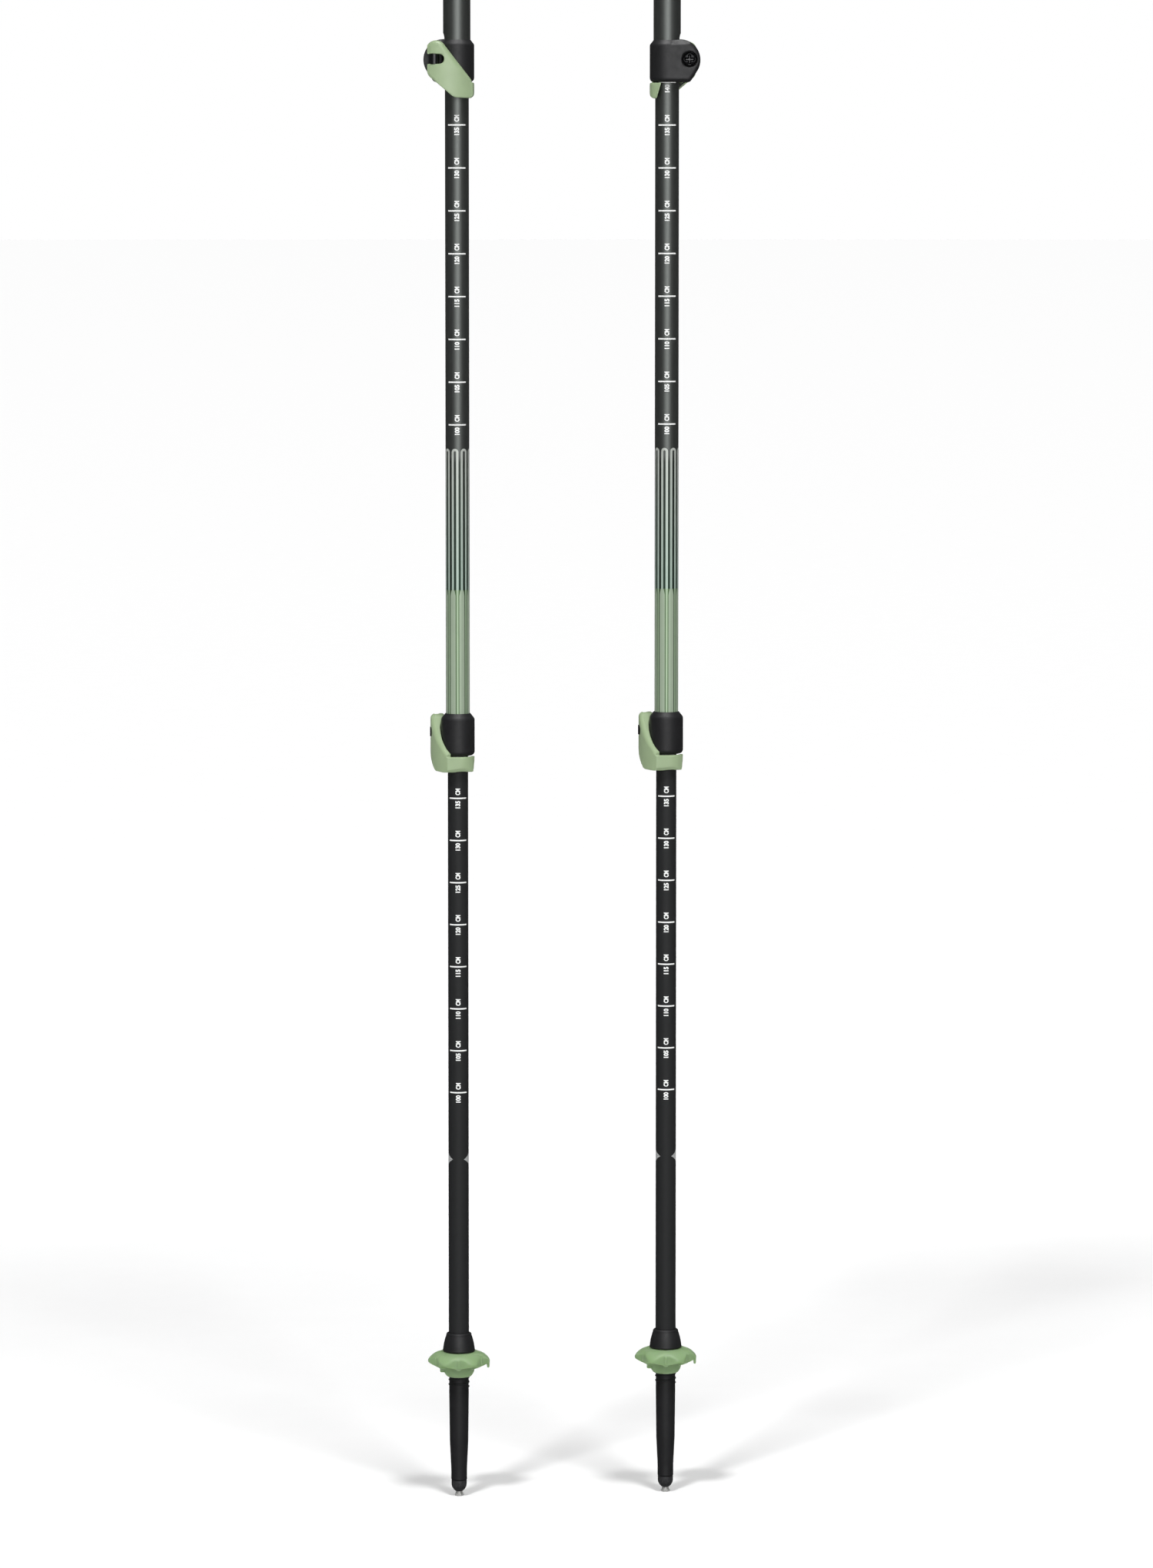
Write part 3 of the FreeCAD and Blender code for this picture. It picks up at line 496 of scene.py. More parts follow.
def dress_nodes():
    """Gives every CAD node its finish; the tubes' prints are placed from each pole's axis."""
    shared = {
        "tube_charcoal": charcoal_tube(),
        "black_plastic": grained("black_plastic", srgb(27, 27, 29), 0.5, 0.28, 0.014,
                                 Specular_IOR_Level=0.35),
        "sage_plastic": grained("sage_plastic", srgb(150, 170, 132), 0.42, 0.35, 0.008, 0.04),
        "basket_plastic": basket_plastic(),
        "black_metal": metal("black_metal", srgb(26, 26, 28), 0.12, 0.5),
        "grey_plastic": grained("grey_plastic", srgb(96, 97, 98), 0.45),
        "cup_metal": metal("cup_metal", srgb(66, 66, 68), 0.42, 0.6),
        "tip_metal": metal("tip_metal", srgb(176, 176, 174), 0.5, 0.35, (1, 1, 1), 3800.0, 0.02),
        "grip_foam": foam(),
        "cap_plastic": grained("cap_plastic", srgb(44, 45, 46), 0.52, 0.5, 0.03),
        "pin_metal": metal("pin_metal", srgb(170, 170, 172), 0.3, 1.0, (0.05, 1, 1)),
    }
    for side in SIDES:
        own = {
            "tube_striped": striped_tube(side),
            "tube_black": black_tube(side),
            "webbing": webbing(side),
        }
        for entry in frame["record"]["subparts"]:
            if not entry["node"].startswith(side):
                continue
            slot = entry["material_slot"]
            finish = own.get(slot) or shared[slot]
            frame["nodes"][entry["node"]].material_slots[0].material = finish.material
        shared[f"{side}_webbing"] = own["webbing"]
    return shared


# ---- pieces --------------------------------------------------------------------------------
def piece(name, mesh_data, finish, smooth_deg=40):
    """An object from a bmesh, shaded smooth up to an angle, with its finish."""
    mesh = bpy.data.meshes.new(name)
    mesh_data.to_mesh(mesh)
    mesh_data.free()
    obj = bpy.data.objects.new(name, mesh)
    bpy.context.scene.collection.objects.link(obj)
    mesh.materials.append(finish.material)
    mesh.shade_smooth()
    mesh.set_sharp_from_angle(angle=math.radians(smooth_deg))
    return obj


def tube_point(axis, radius, degrees, z):
    angle = math.radians(degrees)
    return Vector((axis.x + radius * math.sin(angle), axis.y - radius * math.cos(angle), z))


def ring_surface(bm, rings, closed=True):
    """Joins rings of points into a skin; closed also joins the last ring to the first."""
    loops = [[bm.verts.new(p) for p in ring] for ring in rings]
    following = loops[1:] + loops[:1] if closed else loops[1:]
    for lower, upper in zip(loops, following):
        count = len(lower)
        for i in range(count):
            j = (i + 1) % count
            bm.faces.new((lower[i], lower[j], upper[j], upper[i]))
    return loops


# ---- printed scale -------------------------------------------------------------------------
def flat_lettering(text):
    """The outline of a word as a flat mesh, from Blender's own font."""
    data = bpy.data.curves.new("word", "FONT")
    data.body = text
    data.offset = 0.044
    data.resolution_u = 4
    obj = bpy.data.objects.new("word", data)
    bpy.context.scene.collection.objects.link(obj)
    bpy.context.view_layer.update()
    mesh = bpy.data.meshes.new_from_object(obj.evaluated_get(bpy.context.evaluated_depsgraph_get()))
    bm = bmesh.new()
    bm.from_mesh(mesh)
    bpy.data.objects.remove(obj)
    bpy.data.curves.remove(data)
    bpy.data.meshes.remove(mesh)
    bmesh.ops.remove_doubles(bm, verts=bm.verts, dist=1e-5)
    return bm


def fit_word(text, length, height):
    """Points of a word scaled to a length and cap height, as a bmesh on the XY plane."""
    bm = flat_lettering(text)
    xs = [v.co.x for v in bm.verts]
    ys = [v.co.y for v in bm.verts]
    left, right = min(xs), max(xs)
    base, cap = min(ys), max(ys)
    for v in bm.verts:
        v.co.x = (v.co.x - left) / (right - left) * length
        v.co.y = ((v.co.y - base) / (cap - base) - 0.5) * height
        v.co.z = 0.0
    return bm


def bar(length, height):
    """A flat bar in the lettering's own plane, of a length along x and a height along y."""
    bm = bmesh.new()
    bmesh.ops.create_grid(bm, x_segments=1, y_segments=1, size=0.5)
    for v in bm.verts:
        v.co.x *= length
        v.co.y *= height
    return bm


def wrap_on(bm, target, axis, radius, z):
    """Wraps a flat print on a tube, reading upwards, as a thin closed layer added to target."""
    step = 0.5 * MM
    low = min(v.co.y for v in bm.verts)
    high = max(v.co.y for v in bm.verts)
    cuts = int((high - low) / step)
    for i in range(1, cuts):
        at = (0, low + (high - low) * i / cuts, 0)
        bmesh.ops.bisect_plane(bm, geom=bm.verts[:] + bm.edges[:] + bm.faces[:],
                               plane_co=at, plane_no=(0, 1, 0))
    raised = bmesh.ops.extrude_face_region(bm, geom=bm.faces[:])
    for item in raised["geom"]:
        if isinstance(item, bmesh.types.BMVert):
            item.co.z += 2 * INK
    for v in bm.verts:
        r = radius - INK + v.co.z
        v.co = tube_point(axis, r, -math.degrees(v.co.y / radius), z + v.co.x)
    bmesh.ops.recalc_face_normals(bm, faces=bm.faces)
    mesh = bpy.data.meshes.new("print")
    bm.to_mesh(mesh)
    bm.free()
    target.from_mesh(mesh)
    bpy.data.meshes.remove(mesh)


def printed_scale(side, tube, collar, body, finish):
    """The centimetre marks down one tube; the 140 line stands at the collar's lower edge."""
    axis = axis_of(side)
    radius = tube_radius(side, tube)
    first_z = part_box(f"{side}_{collar}")[0].z
    target = bmesh.new()
    label = MARK_FIRST
    while label >= MARK_LAST:
        z = first_z - (MARK_FIRST - label) / MARK_LABEL_STEP * MARK_STEP
        wrap_on(bar(LINE_HEIGHT, LINE_WIDTH), target, axis, radius, z)
        wrap_on(fit_word("CM", UNIT_LENGTH, LETTER_HEIGHT), target, axis, radius, z + UNIT_GAP)
        number_z = z - NUMBER_GAP - NUMBER_LENGTH
        wrap_on(fit_word(str(label), NUMBER_LENGTH, LETTER_HEIGHT), target, axis, radius, number_z)
        label -= MARK_LABEL_STEP
    marks = piece(f"{side}_{tube}_scale", target, finish)
    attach(marks, f"{side}_{body}")


# ---- moulded plastic with softened edges ---------------------------------------------------
def remeshed(node, voxel):
    """A copy of a CAD node's shape with an even, fine mesh."""
    obj = bpy.data.objects.new("copy", frame["nodes"][node].data.copy())
    bpy.context.scene.collection.objects.link(obj)
    remesh = obj.modifiers.new("remesh", "REMESH")
    remesh.mode = "VOXEL"
    remesh.voxel_size = voxel
    bpy.context.view_layer.update()
    even = obj.evaluated_get(bpy.context.evaluated_depsgraph_get())
    mesh = bpy.data.meshes.new_from_object(even)
    bm = bmesh.new()
    bm.from_mesh(mesh)
    bpy.data.objects.remove(obj)
    bpy.data.meshes.remove(mesh)
    return bm


def eased(bm, rounds):
    """The shape after a few rounds of smoothing, which soften every edge a little."""
    for _ in range(rounds):
        bmesh.ops.smooth_vert(bm, verts=bm.verts, factor=0.5, use_axis_x=True, use_axis_y=True,
                              use_axis_z=True)
    return bm


def edge_finder(places, step, kept):
    """The distance to a shape's outline, seen square on, from its points' (u, z) places."""
    rim = set()
    for first, second in ((0, 1), (1, 0)):
        bins = np.round(places[:, first] / step).astype(int)
        order = np.lexsort((places[:, second], bins))
        starts = np.flatnonzero(np.diff(bins[order], prepend=bins[order[0]] - 1))
        ends = np.append(starts[1:], len(order)) - 1
        rim.update(order[starts].tolist() + order[ends].tolist())
    rim = [i for i in sorted(rim) if kept(*places[i])]
    tree = kdtree.KDTree(len(rim))
    for i in rim:
        tree.insert((*places[i], 0), i)
    tree.balance()
    return lambda u, z: tree.find((u, z, 0))[2]


def roll_back(bm, side, which, inset, kept):
    """Pulls a lever's outer face back near its outline; inset gives how far, from (z, to_edge).

    u runs out from the pole and z upwards, both from the lever's pivot. The face is crowned, so
    its height is found in steps of u. kept picks the stretches of outline that count.
    """
    outward = Vector(joint(f"{side}_{which}_screw_turn")["axis"])
    along = Vector((outward.y, -outward.x, 0))
    pivot = Vector(joint(f"{side}_{which}_lever_flip")["pos_m"])
    if (pivot - axis_of(side)).dot(along) < 0:
        along.negate()
    places = np.array([((v.co - pivot).dot(along), v.co.z - pivot.z) for v in bm.verts])
    to_edge = edge_finder(places, CROWN_STEP, kept)
    us = places[:, 0]
    bins = np.round((us - us.min()) / CROWN_STEP).astype(int)
    heights = np.array([(v.co - pivot).dot(outward) for v in bm.verts])
    crown = np.full(bins.max() + 1, -1.0)
    np.maximum.at(crown, bins, heights)
    slope = np.abs(np.gradient(crown)) / CROWN_STEP
    steps = us.min() + CROWN_STEP * np.arange(len(crown))
    crowns = np.interp(us, steps, crown)
    flat = np.clip(1.8 - np.interp(us, steps, slope), 0, 1)
    for v, (u, z), height, top, share in zip(bm.verts, places, heights, crowns, flat):
        over = height - top + share * inset(z, to_edge(u, z))
        if share > 0 and over > 0:
            v.co -= outward * over


def share_of(value):
    """A value held between 0 and 1."""
    return min(max(value, 0.0), 1.0)


def round_over(radius, to_edge):
    """How far a rounded edge drops, at a distance from the outline."""
    short = max(radius - to_edge, 0.0)
    return radius - math.sqrt(max(radius ** 2 - short ** 2, 0.0))


def soft_lever(side, which, finish):
    """A flip lever with its outer face rolled over at the edges, most of all round the cam."""
    node = f"{side}_{which}_lever"
    bm = remeshed(node, LEVER_VOXEL)

    def inset(z, to_edge):
        near_cam = share_of((z + LEVER_CAM_END) / LEVER_CAM_BLEND)
        above_foot = share_of((z + LEVER_FOOT_END) / LEVER_FOOT_BLEND)
        radius = above_foot * LEVER_EDGE_R + (LEVER_CAM_EDGE_R - LEVER_EDGE_R) * near_cam
        return round_over(radius, to_edge)

    def off_notch(u, z):
        return abs(z) > LEVER_NOTCH_HALF or u < LEVER_NOTCH_START

    roll_back(bm, side, which, inset, off_notch)
    lever = piece(f"{side}_{which}_flip_lever_shell", eased(bm, 4), finish, 180)
    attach(lever, f"{side}_{which}_flip_lever")
    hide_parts(node)


def soft_collar(side, which, finish):
    """A clamp collar with a broad bevel along its top and round the upper half of its ears."""
    node = f"{side}_{which}_collar"
    bm = remeshed(node, COLLAR_VOXEL)
    outward = Vector(joint(f"{side}_{which}_screw_turn")["axis"])
    pivot = Vector(joint(f"{side}_{which}_lever_flip")["pos_m"])
    axis = axis_of(side)
    along = Vector((pivot.x - axis.x, pivot.y - axis.y, 0))
    along = (along - outward * along.dot(outward)).normalized()
    top = max(v.co.z for v in bm.verts) - pivot.z
    barrel_r = max((axis - v.co).dot(along) for v in bm.verts)
    ears = [(v.co - pivot).dot(outward) for v in bm.verts if (v.co - pivot).dot(along) > 0]
    ear_low, ear_high = min(ears), max(ears)
    for v in bm.verts:
        out = v.co - pivot
        u, z, height = out.dot(along), out.z, out.dot(outward)
        to_edge = top - (math.hypot(u, z) if u > 0 else z)
        share = share_of((z + 0.8 * u + COLLAR_BLEND) / COLLAR_BLEND) if u > 0 else 1.0
        cut = COLLAR_BEVEL_SLOPE * max(COLLAR_BEVEL * share - to_edge, 0.0)
        if cut <= 0:
            continue
        reach = math.hypot(v.co.x - axis.x, v.co.y - axis.y)
        if reach < barrel_r + 0.15 * MM:
            if reach > barrel_r - cut:
                v.co.x = axis.x + (v.co.x - axis.x) * (barrel_r - cut) / reach
                v.co.y = axis.y + (v.co.y - axis.y) * (barrel_r - cut) / reach
        elif height > ear_high - cut:
            v.co += outward * (ear_high - cut - height)
        elif height < ear_low + cut:
            v.co += outward * (ear_low + cut - height)
    shell = piece(f"{side}_{which}_collar_shell", eased(bm, 4), finish, 180)
    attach(shell, f"{side}_upper_section" if which == "upper" else f"{side}_middle_section")
    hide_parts(node)


def soft_screw(side, which, finish):
    """A clamp screw with a domed head and a deep cross."""
    node = f"{side}_{which}_tension_screw"
    bm = remeshed(node, SCREW_VOXEL)
    turn = joint(f"{side}_{which}_screw_turn")
    outward = Vector(turn["axis"])
    centre = Vector(turn["pos_m"])
    across = outward.cross(Vector((0, 0, 1)))
    face = min((v.co - centre).dot(outward) for v in bm.verts)
    for v in bm.verts:
        from_axis = v.co - centre
        height = from_axis.dot(outward)
        a, b = from_axis.dot(across), from_axis.z
        reach = math.hypot(a, b)
        if height - face < SCREW_DOME_DEPTH:
            in_cross = min(abs(a), abs(b)) < CROSS_HALF and reach < CROSS_REACH
            sunk = CROSS_DEPTH if in_cross else 0.0
            v.co += outward * (sunk + SCREW_DOME * (reach / SCREW_HEAD_R) ** 2)
    screw = piece(f"{side}_{which}_screw_shell", eased(bm, 2), finish, 180)
    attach(screw, f"{side}_{which}_screw")
    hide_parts(node)


def soft_basket(side, finish):
    """The basket with soft edges, its separate petals eased into one wave."""
    bm = remeshed(f"{side}_basket", BASKET_VOXEL)
    axis = axis_of(side)
    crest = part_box(f"{side}_basket")[1].z

    def roof(reach):
        return crest - BASKET_ROOF_DROP * ((reach - BASKET_HUB_R) / BASKET_ROOF_RUN) ** 2

    def underside(reach):
        rise = BASKET_UNDER_RISE * share_of((reach - BASKET_UNDER_START) / BASKET_UNDER_RUN)
        return crest - BASKET_DEPTH + rise

    for v in bm.verts:
        x, y = v.co.x - axis.x, v.co.y - axis.y
        reach = math.hypot(x, y)
        if reach > BASKET_HUB_R:
            off_lobe = (math.atan2(y, x) + math.pi / 6) % (math.pi / 3) - math.pi / 6
            swing = BASKET_LOBE_AT * math.sin(off_lobe)
            lobed = BASKET_LOBE_AT * math.cos(off_lobe) + math.sqrt(BASKET_LOBE_R ** 2 - swing ** 2)
            waved = BASKET_MEAN_R + BASKET_WAVE * math.cos(6 * off_lobe)
            stretch = (waved - BASKET_HUB_R) / (lobed - BASKET_HUB_R)
            grown = BASKET_HUB_R + (reach - BASKET_HUB_R) * stretch
            v.co.x = axis.x + x * grown / reach
            v.co.y = axis.y + y * grown / reach
            part = (v.co.z - underside(reach)) / (roof(reach) - underside(reach))
            if part > -0.1:
                v.co.z = underside(grown) + part * (roof(grown) - underside(grown))
    shell = piece(f"{side}_basket_shell", eased(bm, 9), finish, 180)
    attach(shell, f"{side}_trekking_basket")
    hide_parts(f"{side}_basket")


# ---- foam ----------------------------------------------------------------------------------
def smooth_between(points, t):
    """A smooth value through (position, value) pairs."""
    for i in range(len(points) - 1):
        (t0, v0), (t1, v1) = points[i], points[i + 1]
        if t <= t1 or i == len(points) - 2:
            before = points[max(i - 1, 0)]
            after = points[min(i + 2, len(points) - 1)]
            s = share_of((t - t0) / (t1 - t0))
            m0 = (v1 - before[1]) / max(t1 - before[0], 1e-9) * (t1 - t0)
            m1 = (after[1] - v0) / max(after[0] - t0, 1e-9) * (t1 - t0)
            return (v0 * (2 * s ** 3 - 3 * s ** 2 + 1) + m0 * (s ** 3 - 2 * s ** 2 + s)
                    + v1 * (3 * s ** 2 - 2 * s ** 3) + m1 * (s ** 3 - s ** 2))
    return points[-1][1]


def groove(distance, half_width, depth):
    """The depth of a rounded groove at a distance from its middle."""
    return depth * math.cos(distance / half_width * math.pi / 2) if abs(distance) < half_width else 0.0


def smooth_window(value, low, high, blend):
    """1 between low and high, easing to 0 inside both ends."""
    return share_of((value - low) / blend) * share_of((high - value) / blend)


def foam_sleeve(low_z, high_z, axis, bore, radius_at, edge, columns):
    """A closed foam sleeve: outer skin from a formula, rounded ends, and the bore inside."""
    rows = int((high_z - low_z) / FOAM_STEP)
    rings = []
    for i in range(rows + 1):
        z = low_z + (high_z - low_z) * i / rows
        end = min(z - low_z, high_z - z)
        inset = edge - math.sqrt(max(edge ** 2 - max(edge - end, 0.0) ** 2, 0.0))
        ring = []
        for k in range(columns):
            degrees = 360.0 * k / columns
            r = max(radius_at(degrees, z) - inset, bore + 0.3 * MM)
            ring.append(tube_point(axis, r, degrees, z))
        rings.append(ring)
    for z in (high_z, low_z):
        rings.append([tube_point(axis, bore, 360.0 * k / columns, z) for k in range(columns)])
    bm = bmesh.new()
    ring_surface(bm, rings)
    bmesh.ops.recalc_face_normals(bm, faces=bm.faces)
    return bm


def hand_grip(side, finish):
    """The hand grip: an oval, waisted foam handle with finger grooves and a pebbled palm."""
    low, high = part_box(f"{side}_grip")
    axis = axis_of(side)
    back = faces_back(side)
    bore = tube_radius(side, "upper") + FOAM_GLUE
    length = 122.0
    half_x = [(0.0, 14.6), (10.0, 17.0), (28.0, 14.4), (61.0, 15.2), (91.5, 15.6), (length, 17.4)]
    half_y = [(0.0, 16.0), (10.0, 19.0), (28.0, 16.4), (61.0, 17.6), (91.5, 18.2), (length, 20.6)]
    fingers = (38.0, 58.0, 78.0, 98.0)

    def radius_at(degrees, z):
        at = (z - low.z) / (high.z - low.z) * length
        a = smooth_between(half_x, at) * MM
        b = smooth_between(half_y, at) * MM
        angle = math.radians(degrees)
        r = a * b / math.hypot(b * math.sin(angle), a * math.cos(angle))
        inward = 0.5 + 0.5 * math.cos(angle) * back
        for finger in fingers:
            r -= groove(at - finger, 8.0, 1.1 * MM) * inward
        slant = (at + degrees * 0.16) % 6.0 - 3.0
        on_side = max(0.0, math.cos(2 * (angle - math.pi / 2)))
        side_panel = on_side * smooth_window(at, 24.0, 112.0, 6.0)
        r -= groove(slant, 0.9, 0.55 * MM) * min(1.0, 2.0 * side_panel)
        pebble = noise.noise(Vector((math.sin(angle) * 15, math.cos(angle) * 15, at)) * 0.55)
        return r + pebble * 0.12 * MM

    bm = foam_sleeve(low.z, high.z, axis, bore, radius_at, 2.2 * MM, 240)
    handle = piece(f"{side}_hand_grip", bm, finish, 60)
    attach(handle, f"{side}_upper_section")
    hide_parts(f"{side}_grip")


def extension_sleeve(side, finish):
    """The lower foam sleeve, cut with two crossing sets of spiral grooves."""
    low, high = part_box(f"{side}_grip_extension")
    axis = axis_of(side)
    radius = (high.x - low.x) / 2
    bore = tube_radius(side, "upper") + FOAM_GLUE
    pitch = 9.0

    def radius_at(degrees, z):
        at = (z - low.z) / MM
        length = (high.z - low.z) / MM
        window = smooth_window(at, 8.0, length - 8.0, 3.0)
        turn = degrees / 360.0 * 4 * pitch
        one = (at + turn) % pitch - pitch / 2
        other = (at - turn) % pitch - pitch / 2
        cut = max(groove(one, 1.0, 0.7 * MM), groove(other, 1.0, 0.7 * MM)) * window
        for ring_at in (6.0, length - 6.0):
            cut = max(cut, groove(at - ring_at, 0.9, 0.8 * MM))
        return radius - cut

    bm = foam_sleeve(low.z, high.z, axis, bore, radius_at, 2.4 * MM, 200)
    sleeve = piece(f"{side}_foam_extension", bm, finish, 60)
    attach(sleeve, f"{side}_upper_section")
    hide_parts(f"{side}_grip_extension")


# ---- wrist strap ---------------------------------------------------------------------------
def arc_points(centre, radius, start_deg, end_deg, step_deg=6.0):
    count = max(int(abs(end_deg - start_deg) / step_deg), 2)
    points = []
    for i in range(count + 1):
        angle = math.radians(start_deg + (end_deg - start_deg) * i / count)
        points.append((centre[0] + radius * math.cos(angle), centre[1] + radius * math.sin(angle)))
    return points


def even_points(points, spacing):
    """The same closed line with points at an even spacing."""
    line = points + points[:1]
    lengths = [0.0]
    for a, b in zip(line, line[1:]):
        lengths.append(lengths[-1] + math.dist(a, b))
    count = int(lengths[-1] / spacing)
    result = []
    at = 0
    for i in range(count):
        want = lengths[-1] * i / count
        while lengths[at + 1] < want:
            at += 1
        t = (want - lengths[at]) / (lengths[at + 1] - lengths[at])
        result.append((line[at][0] + (line[at + 1][0] - line[at][0]) * t,
                       line[at][1] + (line[at + 1][1] - line[at][1]) * t))
    return result


def relaxed(points, rounds):
    """The closed line with its corners eased, as webbing eases round a bend."""
    for _ in range(rounds):
        around = zip(points[-1:] + points[:-1], points, points[1:] + points[:1])
        points = [((a[0] + 2 * p[0] + b[0]) / 4, (a[1] + 2 * p[1] + b[1]) / 4) for a, p, b in around]
    return points


def tape_section(width, thick, columns=24):
    """Half-round selvedges and a flat middle, as (across, out) pairs."""
    half = width / 2
    edge = thick / 2
    flat = half - edge
    top = [(-flat + 2 * flat * i / columns, edge) for i in range(columns + 1)]
    right = [(flat + edge * math.sin(math.radians(a)), edge * math.cos(math.radians(a)))
             for a in (30, 60, 90, 120, 150)]
    bottom = [(flat - 2 * flat * i / columns, -edge) for i in range(columns + 1)]
    left = [(-flat - edge * math.sin(math.radians(a)), -edge * math.cos(math.radians(a)))
            for a in (30, 60, 90, 120, 150)]
    return top + right + bottom + left


def tape_along(line, width, thick, place, closed=True):
    """Sweeps the tape's section along a line in the strap's plane."""
    section = tape_section(width, thick)
    rings = []
    count = len(line)
    for i, p in enumerate(line):
        a = line[i - 1] if closed or i > 0 else p
        b = line[(i + 1) % count] if closed or i < count - 1 else p
        length = math.dist(a, b)
        normal = (-(b[1] - a[1]) / length, (b[0] - a[0]) / length)
        rings.append([place(across, p[0] + normal[0] * out, p[1] + normal[1] * out)
                      for across, out in section])
    bm = bmesh.new()
    loops = ring_surface(bm, rings, closed)
    if not closed:
        bm.faces.new(loops[0])
        bm.faces.new(loops[-1])
    bmesh.ops.recalc_face_normals(bm, faces=bm.faces)
    return bm


def strap_lines(side):
    """The strap's closed line, the loop's centre and its angles, in (back, up) from the slot's mouth."""
    low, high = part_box(f"{side}_strap")
    mouth = Vector(joint(f"{side}_strap_swing")["pos_m"])
    back = faces_back(side)
    pin = centre_of(f"{side}_strap_pin")
    pin_at = (back * (pin.y - mouth.y), pin.z - mouth.z)
    far = max(back * (low.y - mouth.y), back * (high.y - mouth.y))
    centre = (far - STRAP_LOOP_R - STRAP_THICK / 2, low.z + STRAP_LOOP_R + STRAP_THICK / 2 - mouth.z)
    around_pin = arc_points(pin_at, STRAP_LAYER, 90, 270)
    lower_corner = (-0.4 * MM, -STRAP_LAYER)
    upper_corner = (2.2 * MM, STRAP_LAYER)

    def tangent_deg(corner, turn):
        """Where a straight run from a corner touches the loop."""
        towards = math.atan2(corner[1] - centre[1], corner[0] - centre[0])
        off = math.acos(STRAP_LOOP_R / math.dist(corner, centre))
        return math.degrees(towards) + turn * math.degrees(off)

    inner = tangent_deg(lower_corner, 1)
    outer = tangent_deg(upper_corner, -1)
    loop = arc_points(centre, STRAP_LOOP_R, inner, outer + 360, 4.0)
    line = around_pin + [lower_corner] + loop + [upper_corner]
    return relaxed(even_points(line, STRAP_SPACING), 10), centre, (inner, outer + 360)


def wrist_strap(side, finishes):
    """The webbing, folded round its pin and out through the slot, and the pad sewn inside it."""
    mouth = Vector(joint(f"{side}_strap_swing")["pos_m"])
    back = faces_back(side)
    low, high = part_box(f"{side}_strap")
    width = high.x - low.x
    line, centre, (start, end) = strap_lines(side)

    def place(across, out, up):
        return Vector((mouth.x + across, mouth.y + back * out, mouth.z + up))

    tape = piece(f"{side}_strap_webbing", tape_along(line, width, STRAP_THICK, place),
                 finishes[f"{side}_webbing"], 60)
    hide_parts(f"{side}_strap", f"{side}_strap_anchor")
    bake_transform(tape)

    middle = (start + end) / 2
    first, last = middle - PAD_SPREAD_DEG, middle + PAD_SPREAD_DEG
    pad_r = STRAP_LOOP_R - STRAP_THICK / 2 - PAD_THICK / 2 - 0.05 * MM
    pad_line = arc_points(centre, pad_r, first, last, 2.0)
    pad = piece(f"{side}_strap_pad", tape_along(pad_line, width, PAD_THICK, place, closed=False),
                finishes["lining"], 60)
    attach(pad, f"{side}_wrist_strap")

    seams = bmesh.new()
    outside = STRAP_LOOP_R + STRAP_THICK / 2
    stitch_deg = math.degrees(STITCH_PITCH / outside)
    for edge in (-1, 1):
        across = edge * (width / 2 - STITCH_INSET)
        at = first + 3
        while at < last - 3:
            add_stitch(seams, [place(across, centre[0] + outside * math.cos(math.radians(at + d)),
                                     centre[1] + outside * math.sin(math.radians(at + d)))
                               for d in (0, stitch_deg * 0.35, stitch_deg * 0.7)])
            at += stitch_deg
    stitched = piece(f"{side}_strap_stitching", seams, finishes["thread"], 60)
    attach(stitched, f"{side}_wrist_strap")


def add_stitch(bm, points):
    """One stitch: a short thread that dips into the tape at both ends."""
    start, middle, end = points
    along = (end - start).normalized()
    side = Vector((1, 0, 0))
    out = along.cross(side)
    rings = []
    arch = ((0, -0.6, 0.4), (0.15, 0.1, 0.9), (0.5, 0.45, 1.0), (0.85, 0.1, 0.9), (1, -0.6, 0.4))
    for share, height, size in arch:
        base = start.lerp(end, share) + (middle - (start + end) / 2) * (4 * share * (1 - share))
        centre = base + out * (height * STITCH_R)
        rings.append([centre + (side * math.cos(a) + out * math.sin(a)) * (STITCH_R * size)
                      for a in (math.radians(60 * k) for k in range(6))])
    loops = ring_surface(bm, rings, closed=False)
    bm.faces.new(loops[0][::-1])
    bm.faces.new(loops[-1])


# ---- stage ---------------------------------------------------------------------------------
def floor():
    bm = bmesh.new()
    bmesh.ops.create_circle(bm, cap_ends=True, radius=60.0, segments=64)
    mesh = bpy.data.meshes.new("floor")
    bm.to_mesh(mesh)
    bm.free()
    obj = bpy.data.objects.new("floor", mesh)
    bpy.context.scene.collection.objects.link(obj)
    finish = Finish("floor_paper", Roughness=0.9)
    grain = finish.noise(30.0, 4.0)
    finish.set("Base Color", finish.mix(grain, srgb(247, 247, 247), srgb(250, 250, 250)))
    mesh.materials.append(finish.material)
    obj.visible_glossy = False


def sun(name, strength, azimuth_deg, elevation_deg, softness_deg):
    """A broad, far light with no glint; azimuth is where it stands, 0 at the viewer, positive to +X."""
    data = bpy.data.lights.new(name, "SUN")
    data.energy = strength
    data.angle = math.radians(softness_deg)
    obj = bpy.data.objects.new(name, data)
    a, e = math.radians(azimuth_deg), math.radians(elevation_deg)
    stands = Vector((math.sin(a) * math.cos(e), -math.cos(a) * math.cos(e), math.sin(e)))
    obj.rotation_euler = stands.to_track_quat("Z", "Y").to_euler()
    obj.visible_glossy = False
    bpy.context.scene.collection.objects.link(obj)


def panel(name, power, size, at, look_at):
    """A soft box that gives sheen only."""
    data = bpy.data.lights.new(name, "AREA")
    data.energy = power
    data.shape = "RECTANGLE"
    data.size, data.size_y = size
    obj = bpy.data.objects.new(name, data)
    obj.location = at
    obj.rotation_euler = (Vector(at) - Vector(look_at)).to_track_quat("Z", "Y").to_euler()
    obj.visible_diffuse = False
    bpy.context.scene.collection.objects.link(obj)


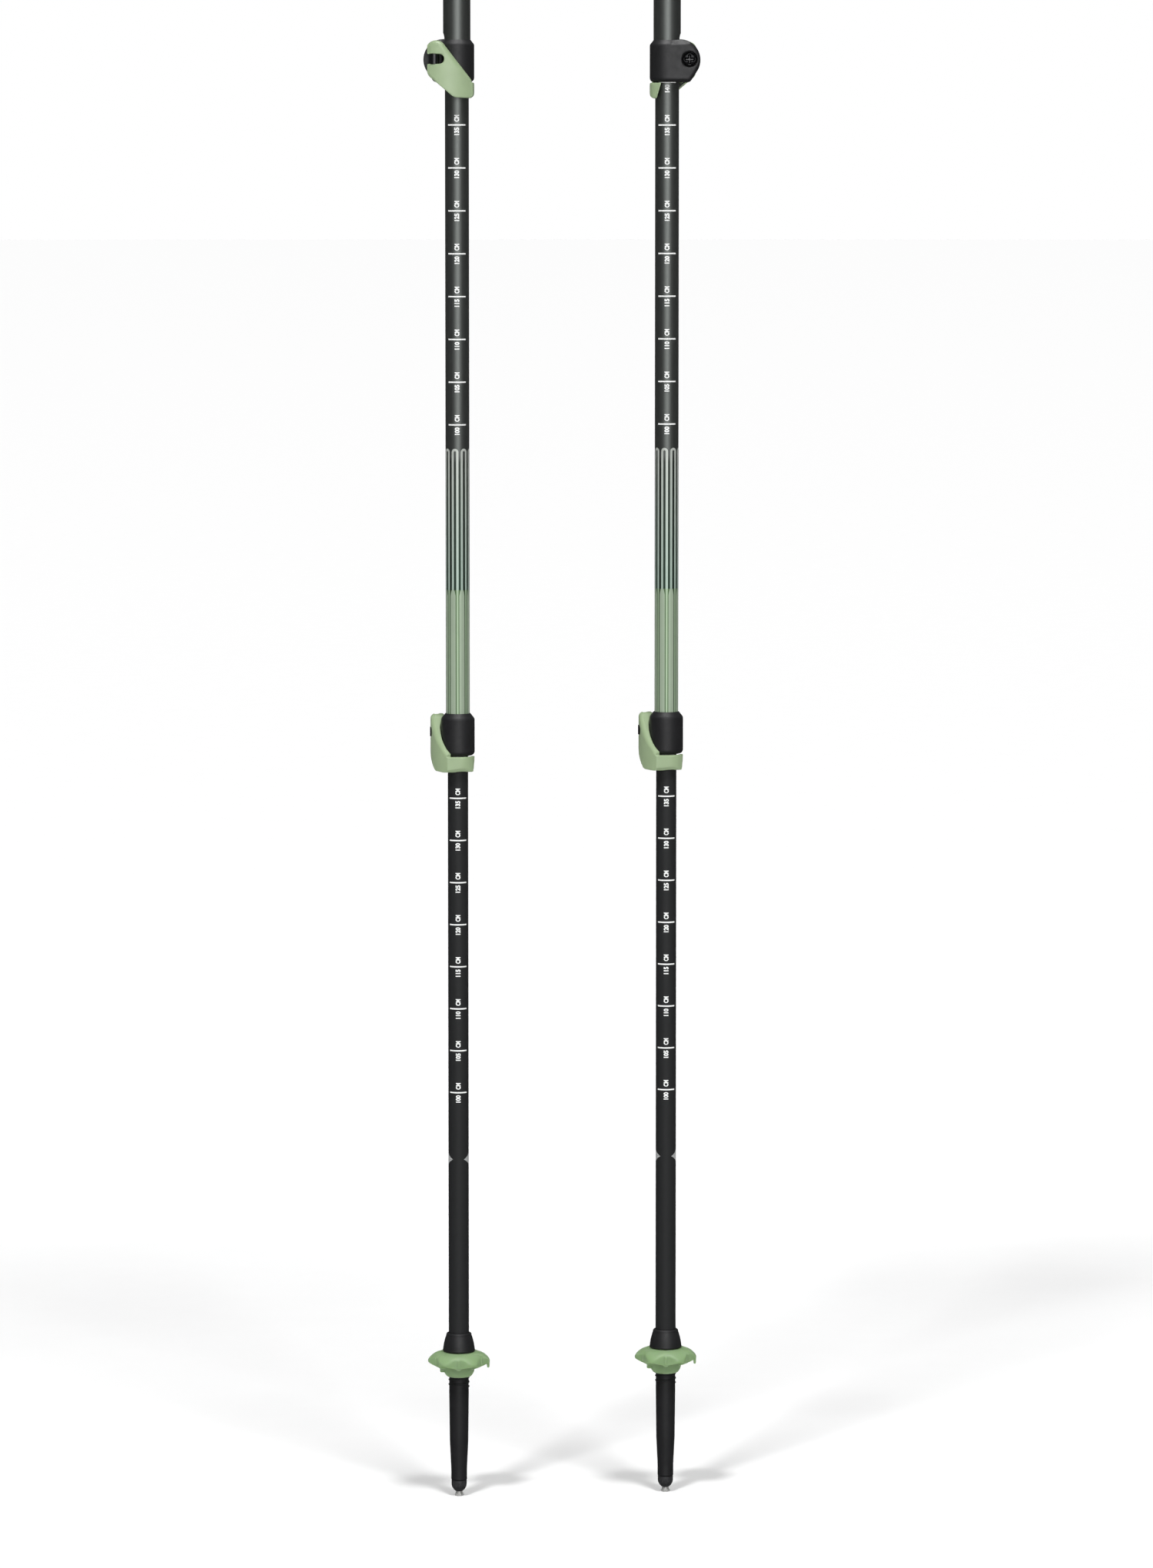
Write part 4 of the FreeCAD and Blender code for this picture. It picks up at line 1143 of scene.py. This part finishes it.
def studio():
    """White surroundings that light the poles gently, two broad lights and soft boxes for sheen."""
    world = bpy.data.worlds.new("studio")
    world.use_nodes = True
    tree = world.node_tree
    background = tree.nodes["Background"]
    background.inputs["Color"].default_value = (1.0, 1.0, 1.0, 1.0)
    seen = tree.nodes.new("ShaderNodeLightPath")
    mirrored = tree.nodes.new("ShaderNodeMapRange")
    mirrored.inputs["To Min"].default_value = AMBIENT
    mirrored.inputs["To Max"].default_value = MIRRORED
    tree.links.new(seen.outputs["Is Glossy Ray"], mirrored.inputs["Value"])
    strength = tree.nodes.new("ShaderNodeMapRange")
    strength.inputs["To Max"].default_value = 1.0
    tree.links.new(seen.outputs["Is Camera Ray"], strength.inputs["Value"])
    tree.links.new(mirrored.outputs[0], strength.inputs["To Min"])
    tree.links.new(strength.outputs[0], background.inputs["Strength"])
    bpy.context.scene.world = world
    sun("front_right", 1.65, 26, 60, 12)
    sun("front_left", 1.55, -26, 58, 8)
    panel("sheen", 17.0, (0.45, 2.4), (0.30, -2.6, 1.2), (0.0, 0.0, 0.7))
    panel("sheen_wide", 46.0, (3.0, 2.4), (0.20, -2.8, 1.3), (0.0, 0.0, 0.7))
    panel("overhead", 34.0, (0.9, 0.9), (0.0, -0.25, 2.3), (0.0, 0.0, 0.6))


def camera():
    data = bpy.data.cameras.new("camera")
    data.lens = CAMERA_LENS_MM
    data.sensor_width = 36.0
    data.shift_y = CAMERA_SHIFT
    data.clip_end = 200.0
    obj = bpy.data.objects.new("camera", data)
    obj.location = CAMERA_AT
    obj.rotation_euler = (math.radians(90 - CAMERA_PITCH_DEG), 0, 0)
    bpy.context.scene.collection.objects.link(obj)
    bpy.context.scene.camera = obj


def main():
    bpy.context.scene.view_settings.view_transform = "Standard"
    camera()
    floor()
    studio()
    finishes = dress_nodes()
    finishes.update(ink=ink(), lining=liner_cloth(), thread=thread())
    for side in SIDES:
        printed_scale(side, "middle", "upper_collar", "middle_section", finishes["ink"])
        printed_scale(side, "lower", "lower_collar", "lower_section", finishes["ink"])
        for which in ("upper", "lower"):
            soft_lever(side, which, finishes["sage_plastic"])
            soft_collar(side, which, finishes["black_plastic"])
            soft_screw(side, which, finishes["black_metal"])
        soft_basket(side, finishes["basket_plastic"])
        hand_grip(side, finishes["grip_foam"])
        extension_sleeve(side, finishes["grip_foam"])
        wrist_strap(side, finishes)


main()
